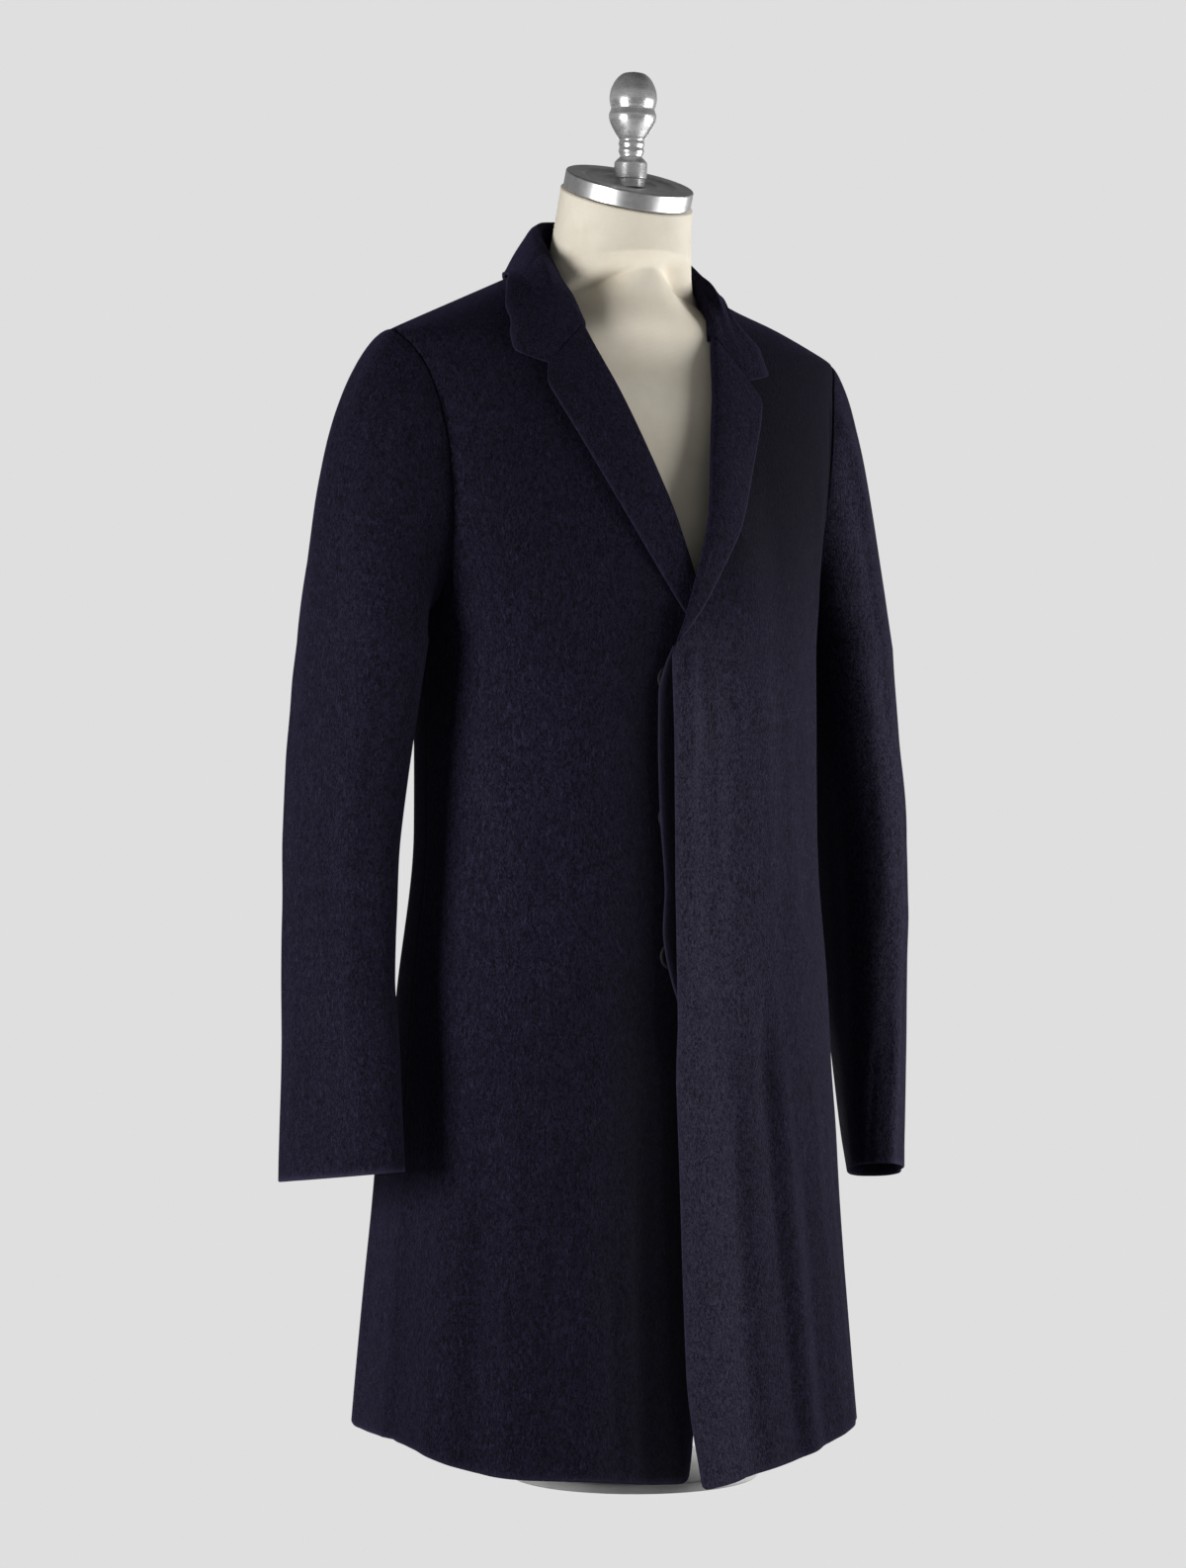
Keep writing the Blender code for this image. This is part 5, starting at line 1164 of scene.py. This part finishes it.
# ================================================================ collar
# A stand sewn to the neckline and a fall turned down over it, cut without a seam at the back. The fall is pressed
# over the stand in a soft roll, and its ends meet the lapels at the gorge and run out to blunt points.
COLLAR_RUN = np.array([
    # share, fold: across, behind, height, edge on its right: degrees, height, edge on its left: degrees, height
    (0.00, 0.0590, -0.0620, 0.8860, 36.7, 0.8595, 27.3, 0.8525),
    (0.10, 0.0640, -0.0520, 0.9060, 36.8, 0.8770, 26.6, 0.8720),
    (0.22, 0.0690, -0.0330, 0.9270, 48.0, 0.8970, 31.5, 0.8995),
    (0.32, 0.0690, -0.0165, 0.9425, 64.0, 0.9135, 42.0, 0.9165),
    (0.42, 0.0670, 0.0000, 0.9560, 86.0, 0.9245, 68.0, 0.9275),
    (0.60, 0.0540, 0.0310, 0.9740, 117.0, 0.9285, 114.0, 0.9285),
    (0.80, 0.0310, 0.0530, 0.9800, 150.0, 0.9250, 149.0, 0.9245),
    (1.00, 0.0000, 0.0600, 0.9820, 180.0, 0.9235, 180.0, 0.9235),
])
NECK_SEAM_SHARE, STAND_FROM, SEAT_SHARE = 0.42, 0.20, 0.55
COLLAR_LIFT, COLLAR_CROWN = CLOTH + LAYER_GAP + LAPEL_RISE, 0.0015
NECK_BEHIND, COLLAR_EDGE_ROWS, LEAST_ROW = 0.015, np.array([0.0055, 0.0025, 0.0]), 0.0005
COLLAR_CORNER, COLLAR_WEAR, COLLAR_BEND, COLLAR_PROUD = 0.0045, 0.5, 0.0042, 0.0003
COLLAR_ROLL = (
    # in from the fold, up from it: over the stand, from its inner face to the fold
    (0.0058, -0.0066), (0.0056, -0.0030), (0.0044, -0.0007), (0.0026, 0.0000), (0.0009, -0.0010),
)
STAND_INSIDE, STAND_BELOW, STAND_GAP = 0.0033, 0.0067, 0.0012
END_COLUMNS = (0.0, 0.008, 0.02, 0.035)     # shares of half the neckline, closer beside its end, then even


def neck_seam(share, side):
    """Degrees round the body and height of the seam that joins the collar, at a share of its run."""
    front = np.minimum(share / NECK_SEAM_SHARE, 1)
    height = ROLL_LINE[-1, 0] + front * (NECK_POINT[1] - ROLL_LINE[-1, 0])
    behind = math.pi / 2 * (1 + (share - NECK_SEAM_SHARE) / (1 - NECK_SEAM_SHARE))
    rolled = side * CLOSING_X + smooth_column(ROLL_LINE, 1, height)
    edge = rolled + front * (NECK_POINT[0] - rolled)
    return np.where(front < 1, angle_across(edge, height), behind), height


def gorge_end(side):
    """The front end of the fall: down the gorge from the roll line to the notch, and on to its point."""
    roll = np.array((ROLL_LINE[-1, 1], ROLL_LINE[-1, 0]))
    notch, tip = np.array(NOTCH[side][::-1]), np.array(COLLAR_TIP[side][::-1])
    plan = [roll, roll * 2 / 3 + notch / 3, roll / 3 + notch * 2 / 3, notch, (notch + tip) / 2, tip]
    across, height = np.array(plan).T
    return front_point(side * CLOSING_X + across, height, side, COLLAR_LIFT)


def fall_ribs(share, side):
    """Six ribs along the fall, from the fold over its crown and down to its free edge on the coat."""
    column = [smooth_column(COLLAR_RUN, k, share) for k in range(1, 8)]
    fold = np.stack([column[0], column[1] + SHOULDER_Y, column[2] + HEM_Z], -1)
    first = 3 if side < 0 else 5
    edge_angle, edge_height = np.radians(column[first]), column[first + 1]
    seam_angle, seam_height = neck_seam(share, 1)
    seat_angle = seam_angle + (edge_angle - seam_angle) * SEAT_SHARE
    seat_height = seam_height + (edge_height - seam_height) * SEAT_SHARE
    seat = body_face(seat_angle, seat_height, COLLAR_LIFT)
    edge = body_face(edge_angle, edge_height, COLLAR_LIFT)
    middle = body_face((seat_angle + edge_angle) / 2, (seat_height + edge_height) / 2, COLLAR_LIFT)
    rows = [fold]
    for part in (1 / 3, 2 / 3):
        chord = fold * (1 - part) + seat * part
        beside_angle = seam_angle * (1 - part) + seat_angle * part
        beside_height = seam_height * (1 - part) + seat_height * part
        surface = body_face(beside_angle, beside_height)
        normal = body_face(beside_angle, beside_height, 1.0) - surface
        stands_off = ((chord - surface) * normal).sum(axis=-1, keepdims=True)
        rows.append(chord + normal * (np.maximum(COLLAR_LIFT - stands_off, 0) + COLLAR_CROWN))
    grid = np.stack([*rows, seat, middle, edge])
    grid[..., 0] *= side
    to_the_gorge = gorge_end(side)[:, None] - grid[:, :1]
    return grid + to_the_gorge * (1 - smoothstep(0, NECK_SEAM_SHARE, share))[None, :, None]


def inward_of(fold):
    """Level unit vectors from the fold towards the middle of the neck, a little behind the shoulder plane."""
    inward = np.array([0.0, SHOULDER_Y + NECK_BEHIND, 0.0]) - fold
    inward[:, 2] = 0
    return unit(inward)


def through(ribs, count, close_last):
    """Rows on a cubic curve through the ribs, evenly spaced by the ribs' mean spacing, with two closer rows before
    the last when it is a free edge. Its slope at a rib is the mean of those on either side, less the sharper the
    bend, so that it never overshoots."""
    length = np.concatenate([[0], np.cumsum(np.linalg.norm(np.diff(ribs, axis=0), axis=-1).mean(axis=1))])
    where = np.linspace(0, length[-1], count)
    if close_last:
        where = np.concatenate([where[:-2], length[-1] - COLLAR_EDGE_ROWS])
        where = where[np.concatenate([[True], np.diff(where) > LEAST_ROW])]
    slope = np.diff(ribs, axis=0) / np.diff(length)[:, None, None]
    run = unit(slope)
    straight = np.clip((run[1:] * run[:-1]).sum(axis=-1, keepdims=True), 0, 1)
    tangent = np.concatenate([slope[:1], (slope[1:] + slope[:-1]) / 2 * straight, slope[-1:]])
    cell = np.clip(np.searchsorted(length, where) - 1, 0, len(length) - 2)
    step = (length[cell + 1] - length[cell])[:, None, None]
    t = ((where - length[cell]) / (length[cell + 1] - length[cell]))[:, None, None]
    return cubic(ribs[cell], ribs[cell + 1], tangent[cell] * step, tangent[cell + 1] * step, t)


def fall_half(share, side):
    """The fall with its roll: ribs that come up inside the neck, over a half round of the stand's thickness, and
    down the outside, on one curve."""
    ribs = fall_ribs(share, side)
    inward = inward_of(ribs[0])
    up = np.array([0.0, 0.0, 1.0])
    roll = [ribs[0] + inward * into + up * rise for into, rise in COLLAR_ROLL]
    shoulder = ribs[0] + unit(ribs[1] - ribs[0]) * COLLAR_BEND - inward * COLLAR_PROUD
    return through(np.stack([*roll, shoulder, *ribs[1:]]), 46, True)


def stand_half(share, side):
    """Rows of the stand, from inside the roll of the fall down to the neck seam."""
    fold = fall_ribs(share, side)[0]
    inward = inward_of(fold)
    top = fold + inward * STAND_INSIDE - np.array([0, 0, STAND_BELOW])
    foot = body_shape(*neck_seam(share, side)) + np.array([0, 0, STAND_GAP])
    foot[:, 0] *= side
    foot += inward * STAND_GAP * 1.5
    down = np.linspace(0, 1, 20)[:, None, None]
    return top * (1 - down) + foot * down


def round_the_neck(half, first, columns=96):
    """A part of the collar, from its left end over the back to its right end, from the half run given."""
    share = np.concatenate([END_COLUMNS[:3], np.linspace(END_COLUMNS[3], 1, columns)])
    share = first + (1 - first) * share
    return np.concatenate([half(share, 1), half(share, -1)[:, -2::-1]], axis=1)


fall = round_the_neck(fall_half, 0.0)
for at_last_column in (False, True):
    fall = rounded(fall, True, at_last_column, COLLAR_CORNER)
wear = COLLAR_WEAR * edge_wear(len(fall), 1.0)[::-1, None]
turned_down_collar = cloth("turned_down_collar", fall, -1, ("near", "far"), wear_and_rim_light=wear)
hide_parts("collar_fall")
inner_stand = cloth("inner_stand", round_the_neck(stand_half, STAND_FROM), -1, ("high",))
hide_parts("collar_stand")


# ================================================================ studio
# A plain pale floor under an even grey surround, a soft light on each side of the camera and a weak one behind
# the coat, and a long lens level with its waist. Nothing here is part of the object.
SHOULDER_LINE = Vector((0.0, SHOULDER_Y, 0.0))
CAMERA_TURN, CAMERA_FAR, CAMERA_HEIGHT, CAMERA_OFF = math.radians(-32.0), 3.3, 0.5426, -0.016
ahead = Vector((-math.sin(CAMERA_TURN), math.cos(CAMERA_TURN), 0.0))
rightward = Vector((math.cos(CAMERA_TURN), math.sin(CAMERA_TURN), 0.0))

lens = bpy.data.cameras.new("level_lens")
lens.lens, lens.sensor_width = 95.5, 36.0
lens.clip_start, lens.clip_end = 0.05, 100.0
camera = bpy.data.objects.new("level_camera", lens)
bpy.context.scene.collection.objects.link(camera)
camera.location = SHOULDER_LINE - ahead * CAMERA_FAR + rightward * CAMERA_OFF + Vector((0, 0, CAMERA_HEIGHT))
camera.rotation_euler = ahead.to_track_quat("-Z", "Y").to_euler()
bpy.context.scene.camera = camera

BACKDROP = 0.737                            # what the lens sees all round, floor and wall alike
FLOOR_RADIUS, LIGHT_AIM = 30.0, 0.45        # the lights face this height over the shoulder line
bpy.context.scene.view_settings.view_transform = "Standard"


def seen_or_lit(tree, seen, lit):
    """A shader that is one thing to the lens and another to every other ray."""
    lens_ray = add(tree, "LightPath", "Is Camera Ray", {})
    return add(tree, "MixShader", "Shader", {"Fac": lens_ray, 1: lit, 2: seen})


world = bpy.data.worlds.new("dim_studio")
world.use_nodes = True
tree, surround = world.node_tree, world.node_tree.nodes["Background"]
upwards = add(tree, "SeparateXYZ", "Z", {"Vector": add(tree, "TexCoord", "Generated", {})})
fill(surround, {"Color": ramp(tree, upwards, 0.0, (0.27, 0.27, 0.27), 0.75, (0.07, 0.07, 0.07))})
backdrop = add(tree, "Background", "Background", {"Color": (BACKDROP, BACKDROP, BACKDROP, 1)})
fill(tree.nodes["World Output"], {"Surface": seen_or_lit(tree, backdrop, surround.outputs["Background"])})
bpy.context.scene.world = world

pale_floor, tree, matt = new_finish("pale_floor")
fill(matt, {"Base Color": (0.45, 0.45, 0.45, 1), "Roughness": 1.0, "Specular IOR Level": 0.0})
shown = add(tree, "Emission", "Emission", {"Color": (BACKDROP, BACKDROP, BACKDROP, 1)})
fill(tree.nodes["Material Output"], {"Surface": seen_or_lit(tree, shown, matt.outputs["BSDF"])})
ring = np.linspace(0, 2 * math.pi, 96, endpoint=False)
disc = np.stack([FLOOR_RADIUS * np.cos(ring), FLOOR_RADIUS * np.sin(ring), 0 * ring], -1)
floor_mesh = bpy.data.meshes.new("pale_floor")
floor_mesh.from_pydata(disc.tolist(), [], [list(range(len(disc)))])
floor_mesh.materials.append(pale_floor)
floor = bpy.data.objects.new("pale_floor", floor_mesh)
bpy.context.scene.collection.objects.link(floor)


def soft_light(name, turn, distance, height, width, tall, power):
    """An upright area light, so many degrees round from the camera, that faces the coat's middle."""
    made = bpy.data.lights.new(name, "AREA")
    made.shape, made.size, made.size_y, made.energy = "RECTANGLE", width, tall, power
    item = bpy.data.objects.new(name, made)
    bpy.context.scene.collection.objects.link(item)
    turn = CAMERA_TURN + math.radians(turn)
    item.location = Vector((math.sin(turn) * distance, SHOULDER_Y - math.cos(turn) * distance, height))
    aim = SHOULDER_LINE + Vector((0, 0, LIGHT_AIM))
    item.rotation_euler = (aim - item.location).to_track_quat("-Z", "Y").to_euler()


soft_light("right_softbox", turn=92, distance=1.6, height=0.52, width=1.3, tall=0.6, power=31)
soft_light("left_softbox", turn=-46, distance=1.6, height=0.52, width=0.5, tall=0.6, power=25)
soft_light("back_softbox", turn=178, distance=2.4, height=0.70, width=1.0, tall=1.0, power=20)
